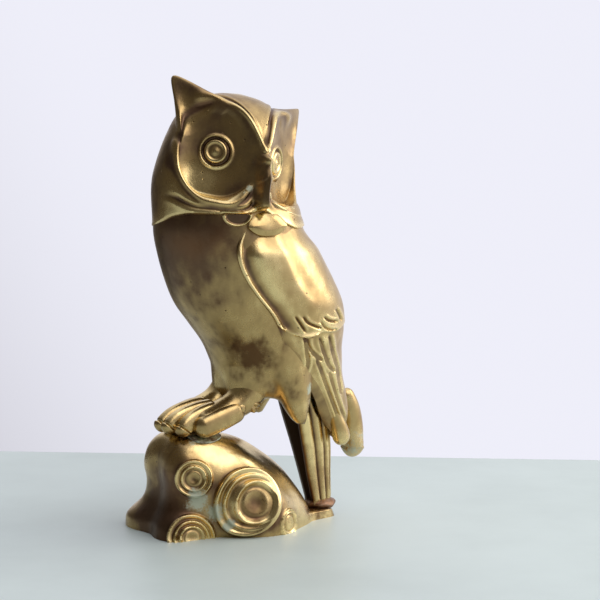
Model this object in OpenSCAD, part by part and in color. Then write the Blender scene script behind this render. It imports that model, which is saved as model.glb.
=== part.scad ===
// Cast brass owl perched on a hollow rock mound.
// The body faces -Y, the head is turned to face +X, and +Z is up.
// Every casting is its own closed solid; the joints between them are brazed.

/* [Castings] */
// Wall of the hollow body and head castings
wall = 3; // [2.2:0.1:3.6]
// Wall of the hollow mound
mound_wall = 3.5; // [2.5:0.1:4.5]
// Thickness of a wing casting
wing_wall = 2.2; // [1.8:0.1:2.4]
// Gap filled with brazing metal round the sleeve inside the neck
braze_gap = 0.3; // [0.1:0.1:0.6]

/* [Head] */
// Sideways tilt of the upper head, in degrees
head_roll = 11; // [0:1:14]
// Height of the ear tufts' tips above the middle of the skull
tuft_rise = 37; // [32:1:38]
// Depth of the dished eye discs
disc_depth = 3; // [1:0.5:4]
// Height of an eye above its disc
eye_height = 2; // [0.5:0.5:3]
// How far the beak stands out from the face
beak_height = 4.5; // [2:0.5:6]

/* [Feet] */
// Distance of each foot from the middle
foot_spread = 8.8; // [8.6:0.1:10]
// Width of a foot across its three toes
foot_width = 15.6; // [13:0.2:16]
// Depth of the grooves between the toes
toe_groove = 1.6; // [0.5:0.1:2.2]

/* [Tail] */
// Half the width of the tail channel at its widest
tail_half = 10; // [9:0.5:11]
// Wall of the tail channel
tail_wall = 2.2; // [1.8:0.1:3]

/* [Hidden] */

brass = [0.72, 0.56, 0.26];
dark_brass = [0.42, 0.31, 0.16];
braze_metal = [0.66, 0.42, 0.28];

// The sculpture is laid out from the middle of its mound, then moved so that its box is centred.
centring = [-0.5, -14, 0];
left = 1;
right = -1;

// Height, middle in y, half depth in y and half width in x of the body, from the neck to the vent
body_rows = [[-141, -0.8, 35.5, 34], [-129, 3, 37, 35], [-116, 8.5, 38.5, 35.5], [-106, 13, 38.5, 35],
             [-96, 17.5, 35.5, 33], [-87, 20, 31.5, 30], [-78, 19.5, 27, 26.5], [-71, 17, 22, 23],
             [-65, 14.5, 16.5, 18], [-61.5, 13, 10, 11], [-60, 12, 0.5, 0.5]];
neck_z = 141;
vent_z = 60;
vent_y = 12;
// Rows of the body crowd towards the vent by this power, and its wall thins there by this share
vent_crowding = 1.4;
vent_thinning = 0.6;
// The sleeve inside the neck: half its width and depth, wall, and reach either side of the joint
sleeve_half = [33 - wall - braze_gap, 33.8 - wall - braze_gap];
sleeve_wall = 2;
sleeve_reach = 6;
// Cells along and across the grids of the castings
body_grid = [22, 20];
head_grid = [28, 46, 20];
wing_grid = [24, 15];
leg_grid = [18, 24];
mound_grid = [20, 56];
tail_grid = [10, 18];
// The lobe of feathers behind each thigh: where it leaves the body, how far it hangs, how wide it is
lobe_root = [20, 24, 69];
lobe_hang = [0.5, 3, -19];
lobe_width = 15;
// A pull towards a tip fades away from its root by this power
pull_power = 1.4;

// Height, middle in y, half depth and half width of the wings' outer face, from the tips up
wing_rows = [[32, 60, 4, 4], [40, 56, 9, 9], [50, 50, 16, 15], [60, 41, 23, 20.5], [70, 31, 30, 26],
             [78, 26, 34, 30.5], [87, 22.6, 36.2, 34], [96, 19, 38.7, 36.2], [106, 14.5, 41.3, 38.2],
             [116, 9.7, 41.3, 38.6], [129, 3.8, 39.8, 38.2], [140, -0.4, 38.4, 36.9]];
// Height and angle of a wing's leading edge, measured from the body's side towards its back
wing_edge_rows = [[32, 40], [36, 10], [40, -6], [50, -13], [60, -7], [70, 0], [80, 4], [87, 4], [90, -4],
                  [96, -16], [106, -23], [118, -26], [130, -23], [140, -15]];
wing_back = 88;
wing_top = 140;
// Share of the way round a wing over which its leading edge thickens to its full wall
wing_bevel = 0.15;
// How far the right wing's tip drops behind the left one
tip_drop = [0, 9, -6];

// Step up the head, height, half depth in x and half width in y
head_rows = [[0, 141.3, 34, 35.5], [1, 150, 33.5, 34.8], [2, 160, 33, 34.2], [3, 170, 32, 33],
             [4, 180, 29.5, 31], [5, 190, 25.5, 27.5], [6, 198, 18.5, 20.5], [7, 202.8, 9.5, 10.5],
             [8, 204.3, 0.4, 0.4]];
head_steps = len(head_rows) - 1;
skull = [0, -1, 170];
// How far the middle line of the face stands forward, how fast it falls back sideways, and how fast it
// leans back above a height
face_front = 35.5;
face_slope = 0.86;
face_lean = 0.35;
lean_from = 8;
disc_middle = [16, 5];
disc_radii = [16, 22.5];
eye_radius = 7;
// Half width of the beak at 1/e of its height, and the heights between which it stands out
beak_width = 3.6;
beak_foot = [-22, -16];
beak_top = [20, -8];
// Half width of the strip of face between the discs, and the heights where it starts and ends
bridge_width = 5;
bridge_foot = [-24, -18];
bridge_top = [22, 12];
tuft_root = [8, 24, 22];
tuft_width = 13;
tuft_tip = [-6, 33.7, tuft_rise];

// Direction round the mound, then reach and height of eight places from its foot to its top
mound_rows = [
    [-185, 34, 0, 34, 7, 33, 15, 31, 23, 28, 31, 22.5, 39, 14, 45.5, 0, 48],
    [-145, 37, 0, 36, 6, 28, 14, 26, 22, 27, 31, 23.5, 40, 15, 46, 0, 48],
    [-95, 24.5, 0, 24, 6, 20, 14, 18.5, 22, 19.5, 31, 18, 40, 12, 46.5, 0, 48],
    [-52, 31, 0, 29, 7, 24.5, 14, 23, 22, 23.5, 31, 21, 39, 14, 45.5, 0, 48],
    [-20, 22.8, 0, 22.8, 7, 22.5, 14, 23, 22, 22.5, 30, 19.5, 38.5, 13, 45, 0, 48],
    [5, 24, 0, 25.5, 7, 26.5, 15, 26, 23, 23.5, 31, 19.5, 38.5, 13, 45, 0, 48],
    [37, 42, 0, 42.5, 7, 41.5, 15, 37, 23, 31, 31, 24, 38, 14, 44.5, 0, 48],
    [60, 49, 0, 48.5, 5, 46.5, 12, 42, 20, 36, 28, 27, 36.5, 15.5, 44, 0, 48],
    [85, 60, 0, 58.5, 4, 55.5, 10, 50, 18, 43.5, 26, 34, 34, 20, 42.5, 0, 48],
    [112, 57, 0, 56, 4, 53, 10, 47.5, 18, 40.5, 26, 31, 34.5, 18, 43, 0, 48],
    [145, 44, 0, 43.5, 6, 42, 14, 38, 22, 32.5, 30, 25, 38, 14.5, 44.5, 0, 48],
    [175, 34, 0, 34, 7, 33, 15, 31, 23, 28, 31, 22.5, 39, 14, 45.5, 0, 48]];
mound_axis = [-1, -18, 0];
mound_height = 48;
// Places on each row of the mound, and half the angle of its tab at 1/e of its reach
mound_places = 8;
tab_spread = 4.5;
// The tab at the mound's back that carries the end of the tail
tab_direction = 83;
tab_reach = 12;
tab_height = 3.5;
// Gap under a foot's sole, and the pad of brazing metal in it
sole_gap = 1.1;
pad_bottom = 0.25;
pad_top = 0.9;
pad_half = [6, 8.5];
pad_middle = -19;

// Height, front edges in y, depth, and share of the full half width, of the tail channel
tail_rows = [[5.6, 44, 11, 0.44], [20, 40.2, 14.5, 0.54], [35, 36.5, 18, 0.7], [50, 32.5, 20, 0.88],
             [64, 30.5, 19, 1]];

// ---- Curves -----------------------------------------------------------------------------

// The stretch of a table that holds x
function stretch(table, x, i = 0) =
    i >= len(table) - 2 || x < table[i + 1][0] ? i : stretch(table, x, i + 1);

// How fast a table's values change at row i
function slope(table, i) =
    let (lo = max(i - 1, 0), hi = min(i + 1, len(table) - 1))
    (table[hi] - table[lo]) / (table[hi][0] - table[lo][0]);

// A smooth curve through a table's rows, at position x of its first column
function smooth(table, x) =
    let (i = stretch(table, x), h = table[i + 1][0] - table[i][0], t = (x - table[i][0]) / h,
         s = t * t * (3 - 2 * t))
    table[i] * (1 - s) + table[i + 1] * s
    + slope(table, i) * h * t * (1 - t) * (1 - t) - slope(table, i + 1) * h * t * t * (1 - t);

function ease(x, lo, hi) =
    let (t = min(max((x - lo) / (hi - lo), 0), 1)) t * t * (3 - 2 * t);
function steps(lo, hi, n) = [for (i = [0 : n]) lo + (hi - lo) * i / n];
function bump(x, width) = exp(-x * x / (width * width));
function unit(v) = v / norm(v);
function flipped(p, side) = [p[0] * side, p[1], p[2]];

// How much of a pull towards a tip reaches a place at some distance from its root
function pull(distance, width) = pow(max(1 - distance / width, 0), pull_power);

// ---- Solids from grids of points --------------------------------------------------------

function joined(lists) = [for (l = lists) each l];

// Two triangles for each cell of a grid whose first point is number start
function cells(rows, cols, start, wrap, flip) =
    [for (i = [0 : rows - 2], j = [0 : cols - (wrap ? 1 : 2)])
        let (a = start + i * cols + j, b = start + i * cols + (j + 1) % cols,
             d = a + cols, c = b + cols)
        each flip ? [[a, b, d], [b, c, d]] : [[a, d, b], [b, d, c]]];

// Triangles between two edges of the same length
function strip(edge, other, wrap, flip) =
    [for (j = [0 : len(edge) - (wrap ? 1 : 2)])
        let (k = (j + 1) % len(edge))
        each flip ? [[edge[j], edge[k], other[j]], [edge[k], other[k], other[j]]]
                  : [[edge[j], other[j], edge[k]], [edge[k], other[j], other[k]]]];

// Triangles from an edge to one point
function fan(edge, tip, wrap, flip) =
    [for (j = [0 : len(edge) - (wrap ? 1 : 2)])
        let (k = (j + 1) % len(edge))
        flip ? [edge[j], edge[k], tip] : [edge[j], tip, edge[k]]];

// A wall between an outer and an inner sheet of points, stitched round its edges.
// With peaks, the sheets' last rows close on an outer and an inner point.
module wall_solid(outer, inner, wrap = false, peaks = []) {
    rows = len(outer);
    cols = len(outer[0]);
    n = rows * cols;
    first = [for (j = [0 : cols - 1]) j];
    last = [for (j = [0 : cols - 1]) n - cols + j];
    closed = len(peaks) > 0;
    start = concat([for (i = [0 : rows - 1]) i * cols], closed ? [2 * n] : []);
    end = concat([for (i = [0 : rows - 1]) i * cols + cols - 1], closed ? [2 * n] : []);
    start_inner = [for (p = start) p == 2 * n ? 2 * n + 1 : p + n];
    end_inner = [for (p = end) p == 2 * n ? 2 * n + 1 : p + n];
    first_inner = [for (p = first) p + n];
    last_inner = [for (p = last) p + n];
    polyhedron(
        points = concat(joined(outer), joined(inner), peaks),
        faces = concat(
            cells(rows, cols, 0, wrap, false),
            cells(rows, cols, n, wrap, true),
            strip(first, first_inner, wrap, true),
            closed ? concat(fan(last, 2 * n, wrap, false), fan(last_inner, 2 * n + 1, wrap, true))
                   : strip(last, last_inner, wrap, false),
            wrap ? [] : concat(strip(start, start_inner, false, false), strip(end, end_inner, false, true))));
}

// A closed solid through rings of points, with a middle point closing each end
module ring_solid(rings) {
    rows = len(rings);
    cols = len(rings[0]);
    n = rows * cols;
    first = [for (j = [0 : cols - 1]) j];
    last = [for (j = [0 : cols - 1]) n - cols + j];
    polyhedron(
        points = concat(joined(rings), [middle(rings[0]), middle(rings[rows - 1])]),
        faces = concat(cells(rows, cols, 0, true, false), fan(first, n, true, true),
                       fan(last, n + 1, true, false)));
}

function middle(points) = [for (p = points) 1] * points / len(points);

// ---- Body -------------------------------------------------------------------------------

// A point of an oval row at angle a from +X towards +Y
function oval(row, a, inset = 0) =
    [(row[3] - inset) * cos(a), row[1] + (row[2] - inset) * sin(a), abs(row[0])];

// The body's skin, with a lobe of feathers pulled down behind each thigh
function body_point(z, a, inset) =
    let (p = oval(smooth(body_rows, -z), a, inset), side = p[0] < 0 ? right : left,
         near = norm(flipped(p, side) - lobe_root))
    p + flipped(lobe_hang, side) * pull(near, lobe_width - inset);

function body_sheet(from, to, inset) =
    [for (t = steps(0, 1, body_grid[0]))
        let (z = neck_z - (neck_z - vent_z - 1) * (1 - pow(1 - t, vent_crowding)) + inset * ease(t, 0.5, 1),
             thin = inset * (1 - vent_thinning * ease(t, 0.8, 1)))
        [for (a = steps(from, to, body_grid[1])) body_point(z, a, thin)]];

module body_half(from, to) {
    wall_solid(body_sheet(to, from, 0), body_sheet(to, from, wall), false,
               [[0, vent_y, vent_z], [0, vent_y, vent_z + wall]]);
}

module breast_shell() {
    body_half(-180, 0);
}

module back_shell() {
    body_half(0, 180);
}

// A short tube inside the joint between the body and the head
module neck_sleeve() {
    ring = function(inset, z) [for (a = steps(0, 360, 48)) if (a < 359)
        [(sleeve_half[0] - inset) * cos(a), body_rows[0][1] + (sleeve_half[1] - inset) * sin(a), z]];
    heights = [neck_z - sleeve_reach, neck_z + sleeve_reach];
    wall_solid([for (z = heights) ring(0, z)], [for (z = heights) ring(sleeve_wall, z)], true);
}

// ---- Head -------------------------------------------------------------------------------

// Turns a place forward, sideways and up from the middle of the skull into the sculpture's axes
function head_place(p) =
    let (turn = head_roll * ease(p[2] + skull[2], 143, 163))
    skull + [p[0], p[1] * cos(turn) + p[2] * sin(turn), p[2] * cos(turn) - p[1] * sin(turn)];

// How far inside an eye disc a place is: 0 at its middle and 1 at its rim
function disc_share(side, up) =
    norm([(abs(side) - disc_middle[0]) / disc_radii[0], (up - disc_middle[1]) / disc_radii[1]]);

// Forward reach of the face: two discs dished in, with an eye in each, either side of a beak
function face_reach(side, up) =
    let (share = disc_share(side, up), eye = norm([abs(side) - disc_middle[0], up - disc_middle[1]]))
    face_front - face_slope * abs(side) - face_lean * max(up - lean_from, 0)
    - disc_depth * max(1 - share * share, 0)
    + eye_height * ease(eye, eye_radius + 1.5, eye_radius - 2.5)
    + beak_height * bump(side, beak_width) * ease(up, beak_top[0], beak_top[1])
      * ease(up, beak_foot[0], beak_foot[1]);

// The head's skin at a step up it and an angle round it
function head_point(step, a, inset) =
    let (row = smooth(head_rows, step), up = row[1] - skull[2] - inset * ease(step, 4, 8),
         side = (row[3] - inset) * sin(a), back = (row[2] - inset) * cos(a),
         facing = ease(disc_share(side, up), 1.18, 0.86)
                  + bump(side, bridge_width) * ease(up, bridge_foot[0], bridge_foot[1])
                    * ease(up, bridge_top[0], bridge_top[1]),
         reach = back + (face_reach(side, up) - inset - back) * min(facing, 1) * ease(cos(a), 0, 0.25),
         hand = side < 0 ? -1 : 1, distance = norm([back, side * hand, up] - tuft_root),
         way = tuft_tip - tuft_root, drawn = [way[0], way[1] * hand, way[2]])
    head_place([reach, side, up] + drawn * pull(distance, tuft_width - inset));

function head_sheet(from, to, count, inset) =
    [for (s = steps(0, head_steps - 0.15, head_grid[0]))
        [for (a = steps(from, to, count)) head_point(s, a, inset)]];

module head_half(from, to, count) {
    wall_solid(head_sheet(from, to, count, 0), head_sheet(from, to, count, wall), false,
               [head_point(head_steps, 90, 0), head_point(head_steps, 90, wall)]);
}

module face_shell() {
    head_half(-90, 90, head_grid[1]);
}

module crown_shell() {
    head_half(90, 270, head_grid[2]);
}

// ---- Wings ------------------------------------------------------------------------------

function wing_sheet(side, inset) =
    [for (z = steps(wing_rows[0][0] + 0.5, wing_top, wing_grid[0]))
        let (row = smooth(wing_rows, z), edge = smooth(wing_edge_rows, z)[1],
             drop = side < 0 ? tip_drop * ease(z, 62, 32) : [0, 0, 0])
        [for (t = steps(0, 1, wing_grid[1]))
            drop + oval(row, edge + (wing_back - edge) * t, inset * (0.3 + 0.7 * ease(t, 0, wing_bevel)))]];

module wing(side) {
    wall_solid(wing_sheet(side, 0), wing_sheet(side, wing_wall));
}

module left_wing() {
    wing(left);
}

module right_wing() {
    mirror([1, 0, 0]) wing(right);
}

// ---- Mound ------------------------------------------------------------------------------

// Reach and height on the mound in direction a, at a share w of the way from its foot to its top
function mound_profile(a, w) =
    let (row = smooth(mound_rows, a), last = mound_places - 1,
         table = [for (i = [0 : last]) [i, row[1 + 2 * i], row[2 + 2 * i]]], spot = smooth(table, last * w))
    [spot[1] + tab_reach * bump(a - tab_direction, tab_spread) * ease(spot[2], tab_height + 1, tab_height),
     max(spot[2], 0)];

function mound_point(a, w, inset) =
    let (spot = mound_profile(a, w), ahead = mound_profile(a, min(w + 0.02, 1)),
         behind = mound_profile(a, max(w - 0.02, 0)), rise = unit(ahead - behind),
         reach = max(spot[0] - inset * rise[1], 0.2 * (1 - w)),
         height = w == 0 ? 0 : max(spot[1] + inset * rise[0], 0))
    mound_axis + [reach * cos(a), reach * sin(a), height];

// Height of the mound's top over a place, found by halving the span that holds its reach
function mound_roof(x, y, low = 0.3, high = 1, turns = 12) =
    let (place = [x, y] - [mound_axis[0], mound_axis[1]], angle = atan2(place[1], place[0]),
         a = angle > 175 ? angle - 360 : angle, w = (low + high) / 2, spot = mound_profile(a, w))
    turns == 0 ? spot[1]
    : spot[0] > norm(place) ? mound_roof(x, y, w, high, turns - 1)
    : mound_roof(x, y, low, w, turns - 1);

function mound_sheet(inset) =
    [for (w = steps(0, 0.985, mound_grid[0]))
        [for (a = steps(-185, 175, mound_grid[1])) if (a < 174) mound_point(a, w, inset)]];

module base_mound() {
    wall_solid(mound_sheet(0), mound_sheet(mound_wall), true,
               [mound_axis + [0, 0, mound_height], mound_axis + [0, 0, mound_height - mound_wall]]);
}

// ---- Legs -------------------------------------------------------------------------------

// Place in y, height, half width and half height of a leg and foot, from the belly to the toes' tips, for
// a foot of a certain width
leg_rows_width = 15.6;
leg_rows = [[0, 6.5, 59.4, 4, 1], [1, 5, 59.2, 6.3, 3.6], [2, 1, 58.6, 6.8, 5.4], [3, -5, 57, 6.8, 6],
            [4, -11, 54.4, 7, 5.6], [5, -19, 51.8, 7.8, 5.4], [6, -27, 49.4, 7.8, 5],
            [7, -33, 47.4, 7.2, 4.2], [8, -36.5, 46, 5.6, 2.6], [9, -37.8, 45.4, 4, 1]];
// Rows between which the toes part, share of the half width where the grooves run, their width, and how
// much further the middle toe reaches
toes_from = [4.2, 5.5];
toe_gap_at = 0.34;
toe_gap_width = 0.16;
toe_lead = 1.5;

// One point of a leg's section: an oval, grooved between the toes, that sits on the mound
function leg_point(s, a) =
    let (row = smooth(leg_rows, s), toes = ease(s, toes_from[0], toes_from[1]), share = cos(a),
         gap = bump(share - toe_gap_at, toe_gap_width) + bump(share + toe_gap_at, toe_gap_width),
         groove = sin(a) > 0 ? toe_groove * toes * gap : 0,
         x = foot_spread + row[3] * foot_width / leg_rows_width * share,
         z = row[2] + (row[4] - groove) * sin(a))
    [x, row[1] - toes * (1 - share * share) * toe_lead, max(z, mound_roof(x, row[1]) + sole_gap)];

module left_leg() {
    ring_solid([for (s = steps(0, 9, leg_grid[0]))
        [for (a = steps(0, 360, leg_grid[1])) if (a < 359) leg_point(s, a)]]);
}

module right_leg() {
    mirror([1, 0, 0]) left_leg();
}

// A pad of brazing metal between a foot and the mound, following the mound's top
function pad_sheet(side, lift) =
    [for (t = steps(0, 1, 3))
        let (reach = 1 - 0.8 * t)
        [for (a = steps(0, 360, 24)) if (a < 359)
            let (x = side * foot_spread + reach * pad_half[0] * cos(a),
                 y = pad_middle + reach * pad_half[1] * sin(a))
            [x, y, mound_roof(x, y) + lift]]];

module foot_braze(side) {
    outer = pad_sheet(side, pad_top);
    inner = pad_sheet(side, pad_bottom);
    peak = len(outer) - 1;
    wall_solid(outer, inner, true, [middle(outer[peak]), middle(inner[peak])]);
}

module left_foot_braze() {
    foot_braze(left);
}

module right_foot_braze() {
    foot_braze(right);
}

// ---- Tail -------------------------------------------------------------------------------

function tail_sheet(inset) =
    [for (z = steps(tail_rows[0][0], tail_rows[len(tail_rows) - 1][0], tail_grid[0]))
        let (row = smooth(tail_rows, z))
        [for (a = steps(0, 180, tail_grid[1]))
            [(row[3] * tail_half - inset) * cos(a), row[1] + (row[2] - inset) * sin(a), z]]];

module tail_fan() {
    wall_solid(tail_sheet(0), tail_sheet(tail_wall));
}

// A lump of coppery brazing metal between the mound's tab and the end of the tail
module tail_braze() {
    row = tail_rows[0];
    ring_solid([for (t = [[tab_height + 0.3, 1.5], [tab_height + 1, 2.2], [row[0] - 0.3, 0.6]])
        [for (a = steps(0, 360, 24)) if (a < 359)
            [(row[3] * tail_half + t[1] + 0.4 * sin(3 * a)) * cos(a),
             row[1] + row[2] / 2 + (row[2] / 2 + t[1]) * sin(a), t[0]]]]);
}

// ---- The owl ----------------------------------------------------------------------------

translate(centring) color(dark_brass) base_mound();
translate(centring) color(brass) face_shell();
translate(centring) color(brass) crown_shell();
translate(centring) color(dark_brass) neck_sleeve();
translate(centring) color(brass) breast_shell();
translate(centring) color(brass) back_shell();
translate(centring) color(brass) left_wing();
translate(centring) color(brass) right_wing();
translate(centring) color(brass) left_leg();
translate(centring) color(brass) right_leg();
translate(centring) color(braze_metal) left_foot_braze();
translate(centring) color(braze_metal) right_foot_braze();
translate(centring) color(dark_brass) tail_fan();
translate(centring) color(braze_metal) tail_braze();
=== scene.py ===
"""Looks of a cast brass owl on a hollow rock mound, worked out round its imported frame.

Every casting is a surface of two parameters on a grid. The sculpture's own axes are in millimetres from
the middle of the mound's foot: the body faces -Y, the head is turned to face +X, and +Z is up.
"""

import bpy
import numpy as np
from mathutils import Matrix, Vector


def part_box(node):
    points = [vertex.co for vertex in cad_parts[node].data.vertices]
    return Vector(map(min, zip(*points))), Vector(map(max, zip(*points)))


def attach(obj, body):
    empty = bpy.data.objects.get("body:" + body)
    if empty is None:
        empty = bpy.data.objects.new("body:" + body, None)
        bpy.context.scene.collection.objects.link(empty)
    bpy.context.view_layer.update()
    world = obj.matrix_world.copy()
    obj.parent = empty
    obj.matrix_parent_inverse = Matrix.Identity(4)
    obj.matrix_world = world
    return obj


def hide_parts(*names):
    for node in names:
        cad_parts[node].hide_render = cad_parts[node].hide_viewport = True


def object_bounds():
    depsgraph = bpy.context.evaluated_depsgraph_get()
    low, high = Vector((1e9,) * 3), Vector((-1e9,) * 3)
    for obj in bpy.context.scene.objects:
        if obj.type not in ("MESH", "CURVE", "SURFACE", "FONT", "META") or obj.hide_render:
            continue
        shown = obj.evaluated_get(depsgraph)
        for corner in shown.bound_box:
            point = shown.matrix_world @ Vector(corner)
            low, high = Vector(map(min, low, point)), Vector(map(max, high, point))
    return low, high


bl_info = {
    "name": "Cast brass owl",
    "version": (1, 0, 0),
    "blender": (4, 5, 0),
    "location": "View3D > Sidebar > Owl",
    "description": "Builds the skins, patina and stage of a cast brass owl on its mound",
    "category": "Object",
}

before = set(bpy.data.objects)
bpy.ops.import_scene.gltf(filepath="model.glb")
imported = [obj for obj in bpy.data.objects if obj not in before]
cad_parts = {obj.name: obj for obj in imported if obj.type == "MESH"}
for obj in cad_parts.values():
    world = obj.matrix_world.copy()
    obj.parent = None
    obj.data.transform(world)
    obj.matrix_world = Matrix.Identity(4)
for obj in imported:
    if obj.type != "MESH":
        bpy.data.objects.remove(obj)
FRAME_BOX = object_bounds()

# The sculpture's height in its own millimetres, and its mound's lowest corner in them
TALL = 212.1
MOUND_CORNER = np.array([-37.7, -44.7, 0.0])
MM = (FRAME_BOX[1].z - FRAME_BOX[0].z) / TALL
ORIGIN = np.array(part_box("base_mound")[0]) - MOUND_CORNER * MM
LEFT, RIGHT = 1, -1

# ---- Curves and fields --------------------------------------------------------------------


def smooth_rows(rows, x):
    """A smooth curve through a table's rows, at positions x of its first column.

    Between two rows it is the cubic whose slope at each row is that of the line through its neighbours.
    """
    rows = np.asarray(rows, float)
    x = np.asarray(x, float)
    knots = rows[:, 0]
    low = np.maximum(np.arange(len(rows)) - 1, 0)
    high = np.minimum(np.arange(len(rows)) + 1, len(rows) - 1)
    slopes = (rows[high] - rows[low]) / (knots[high] - knots[low])[:, None]
    i = np.clip(np.searchsorted(knots, x, side="right") - 1, 0, len(rows) - 2)
    h = (knots[i + 1] - knots[i])[..., None]
    t = (x[..., None] - knots[i][..., None]) / h
    s = t * t * (3 - 2 * t)
    lean = slopes[i] * h * t * (1 - t) ** 2 - slopes[i + 1] * h * t * t * (1 - t)
    return rows[i] * (1 - s) + rows[i + 1] * s + lean


def ease(x, low, high):
    """0 below low and 1 above high, with a smooth S between them; low may be the larger."""
    t = np.clip((x - low) / (high - low), 0, 1)
    return t * t * (3 - 2 * t)


def bump(x, width):
    """A bell of height 1 that falls to 1/e at one width."""
    return np.exp(-((x / width) ** 2))


def pull(distance, width):
    """How much of a pull towards a tip reaches a place at some distance from its root."""
    return np.clip(1 - distance / width, 0, None) ** 1.4


def between(low, high, count):
    """Evenly spaced numbers from low to high, both of them included."""
    return np.linspace(low, high, count)


def drawn(points, count=40):
    """A smooth line through given points, as count places along it."""
    rows = [[i, *p] for i, p in enumerate(points)]
    return smooth_rows(rows, between(0, len(points) - 1, count))[:, 1:]


def nearest(chart, line):
    """Distance of each place of a chart from a line, which side it is on (1 left of it), and share along it."""
    best = np.full(chart.shape[:-1], 1e9)
    side = np.zeros_like(best)
    share = np.zeros_like(best)
    for k in range(len(line) - 1):
        start, step = line[k], line[k + 1] - line[k]
        away = chart - start
        t = np.clip((away @ step) / (step @ step), 0, 1)
        gap = away - t[..., None] * step
        distance = np.sqrt((gap**2).sum(-1))
        closer = distance < best
        best = np.where(closer, distance, best)
        cross = step[0] * away[..., 1] - step[1] * away[..., 0]
        side = np.where(closer, np.sign(cross), side)
        share = np.where(closer, (k + t) / (len(line) - 1), share)
    return best, side, share


def tapered(share, ends=0.12):
    """Fades a drawn line out towards both of its ends."""
    return ease(share, 0, ends) * ease(share, 1, 1 - ends)


def groove(chart, points, depth, width, ends=0.12):
    """A furrow along a drawn line, with a low lip either side of it."""
    distance, _, share = nearest(chart, drawn(points))
    fade = tapered(share, ends)
    return fade * depth * (0.35 * bump(distance - 2.2 * width, 1.2 * width) - bump(distance, width))


def ridge(chart, points, height, width, ends=0.12):
    """A rounded bead along a drawn line."""
    distance, _, share = nearest(chart, drawn(points))
    return tapered(share, ends) * height * bump(distance, width)


def shelf(chart, points, height, reach, side, ends, edge):
    """An overlapping edge: raised on one side of a drawn line (1 is its left), and fading away from it."""
    distance, hand, share = nearest(chart, drawn(points))
    signed = distance * hand * side
    raised = ease(signed, -edge, edge) * np.exp(-np.clip(signed, 0, None) / reach)
    return tapered(share, ends) * height * (raised - 0.4 * bump(signed + 1.4 * edge, edge))


# ---- Grids and meshes ---------------------------------------------------------------------


def normals(points, wrap):
    """Outward unit normals of a grid whose rows go up and whose columns go anticlockwise."""
    up = np.gradient(points, axis=0)
    if wrap:
        across = np.roll(points, -1, 1) - np.roll(points, 1, 1)
    else:
        across = np.gradient(points, axis=1)
    n = np.cross(across, up)
    return n / np.maximum(np.linalg.norm(n, axis=-1, keepdims=True), 1e-9)


def cells(rows, cols, wrap, start=0):
    """The four corners of every cell of a grid, anticlockwise as seen from outside."""
    i, j = np.meshgrid(np.arange(rows - 1), np.arange(cols if wrap else cols - 1), indexing="ij")
    a = start + i * cols + j
    b = start + i * cols + (j + 1) % cols
    return np.stack([a, b, b + cols, a + cols], -1).reshape(-1, 4)


def fan(edge, tip, wrap):
    """Triangles from an edge to one point, facing the way the edge turns."""
    after = np.roll(edge, -1) if wrap else edge[1:]
    before = edge if wrap else edge[:-1]
    return np.stack([before, after, np.full(len(before), tip)], -1)


def strip(edge, other, wrap):
    """Four-sided faces between two edges of the same length."""
    after = (np.roll(edge, -1), np.roll(other, -1)) if wrap else (edge[1:], other[1:])
    before = (edge, other) if wrap else (edge[:-1], other[:-1])
    return np.stack([before[0], after[0], after[1], before[1]], -1)


def closed_skin(grid, wear=None, residue=None):
    """A closed shell through rings of points, with a middle point closing each end.

    Wear is -1 in hollows that hold patina and 1 on edges rubbed bright; on the feet it is a painted highlight on
    upward faces instead, and far below -1 it is painted deep shade. Residue is 1 under pale salts.
    """
    rows, cols = grid.shape[:2]
    count = rows * cols
    points = np.concatenate([grid.reshape(-1, 3), grid[:1].mean(1), grid[-1:].mean(1)])
    first, last = np.arange(cols), count - cols + np.arange(cols)
    tris = np.concatenate([fan(first[::-1], count, True), fan(last, count + 1, True)])
    return points, cells(rows, cols, True), tris, with_ends(wear, rows, cols), with_ends(residue, rows, cols)


def with_ends(field, rows, cols):
    """A field over a grid, with the mean of its first and last rows added for the two end points."""
    field = np.zeros((rows, cols)) if field is None else np.broadcast_to(field, (rows, cols))
    return np.concatenate([field.ravel(), [field[0].mean(), field[-1].mean()]])


def walled_skin(outer, inner, wear, residue=None, within=-0.5):
    """An outer and an inner sheet of points of the same counts, stitched round their four edges."""
    rows, cols = outer.shape[:2]
    count = rows * cols
    first, last = np.arange(cols), count - cols + np.arange(cols)
    start, end = np.arange(rows) * cols, np.arange(rows) * cols + cols - 1
    quads = [cells(rows, cols, False), cells(rows, cols, False, count)[:, ::-1],
             strip(first + count, first, False), strip(last, last + count, False),
             strip(start, start + count, False), strip(end + count, end, False)]
    points = np.concatenate([outer.reshape(-1, 3), inner.reshape(-1, 3)])
    return points, np.concatenate(quads), np.zeros((0, 3), int), with_wall(wear, outer, inner, within), \
        with_wall(residue, outer, inner, 0.0)


def with_wall(field, outer, inner, value):
    """A field over the outer sheet, with one value added for every point of the inner sheet."""
    field = np.zeros(outer.shape[:2]) if field is None else field
    return np.concatenate([field.ravel(), np.full(inner.shape[0] * inner.shape[1], value)])


def hollow_dome(outer, inner, wear, residue=None):
    """An outer and an inner dome of rings, stitched at their lowest rings and closed at their peaks."""
    cols = outer.shape[1]
    count, within = outer.shape[0] * cols, inner.shape[0] * cols
    ends = count + within
    first, last = np.arange(cols), count - cols + np.arange(cols)
    quads = [cells(outer.shape[0], cols, True), cells(inner.shape[0], cols, True, count)[:, ::-1],
             strip(first + count, first, True)]
    tris = [fan(last, ends, True), fan((ends - cols + np.arange(cols))[::-1], ends + 1, True)]
    points = np.concatenate([outer.reshape(-1, 3), inner.reshape(-1, 3), outer[-1:].mean(1), inner[-1:].mean(1)])
    fields = [np.concatenate([with_wall(f, outer, inner, v), [0.0, v]]) for f, v in ((wear, -0.5), (residue, 0.0))]
    return points, np.concatenate(quads), np.concatenate(tris), *fields


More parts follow.
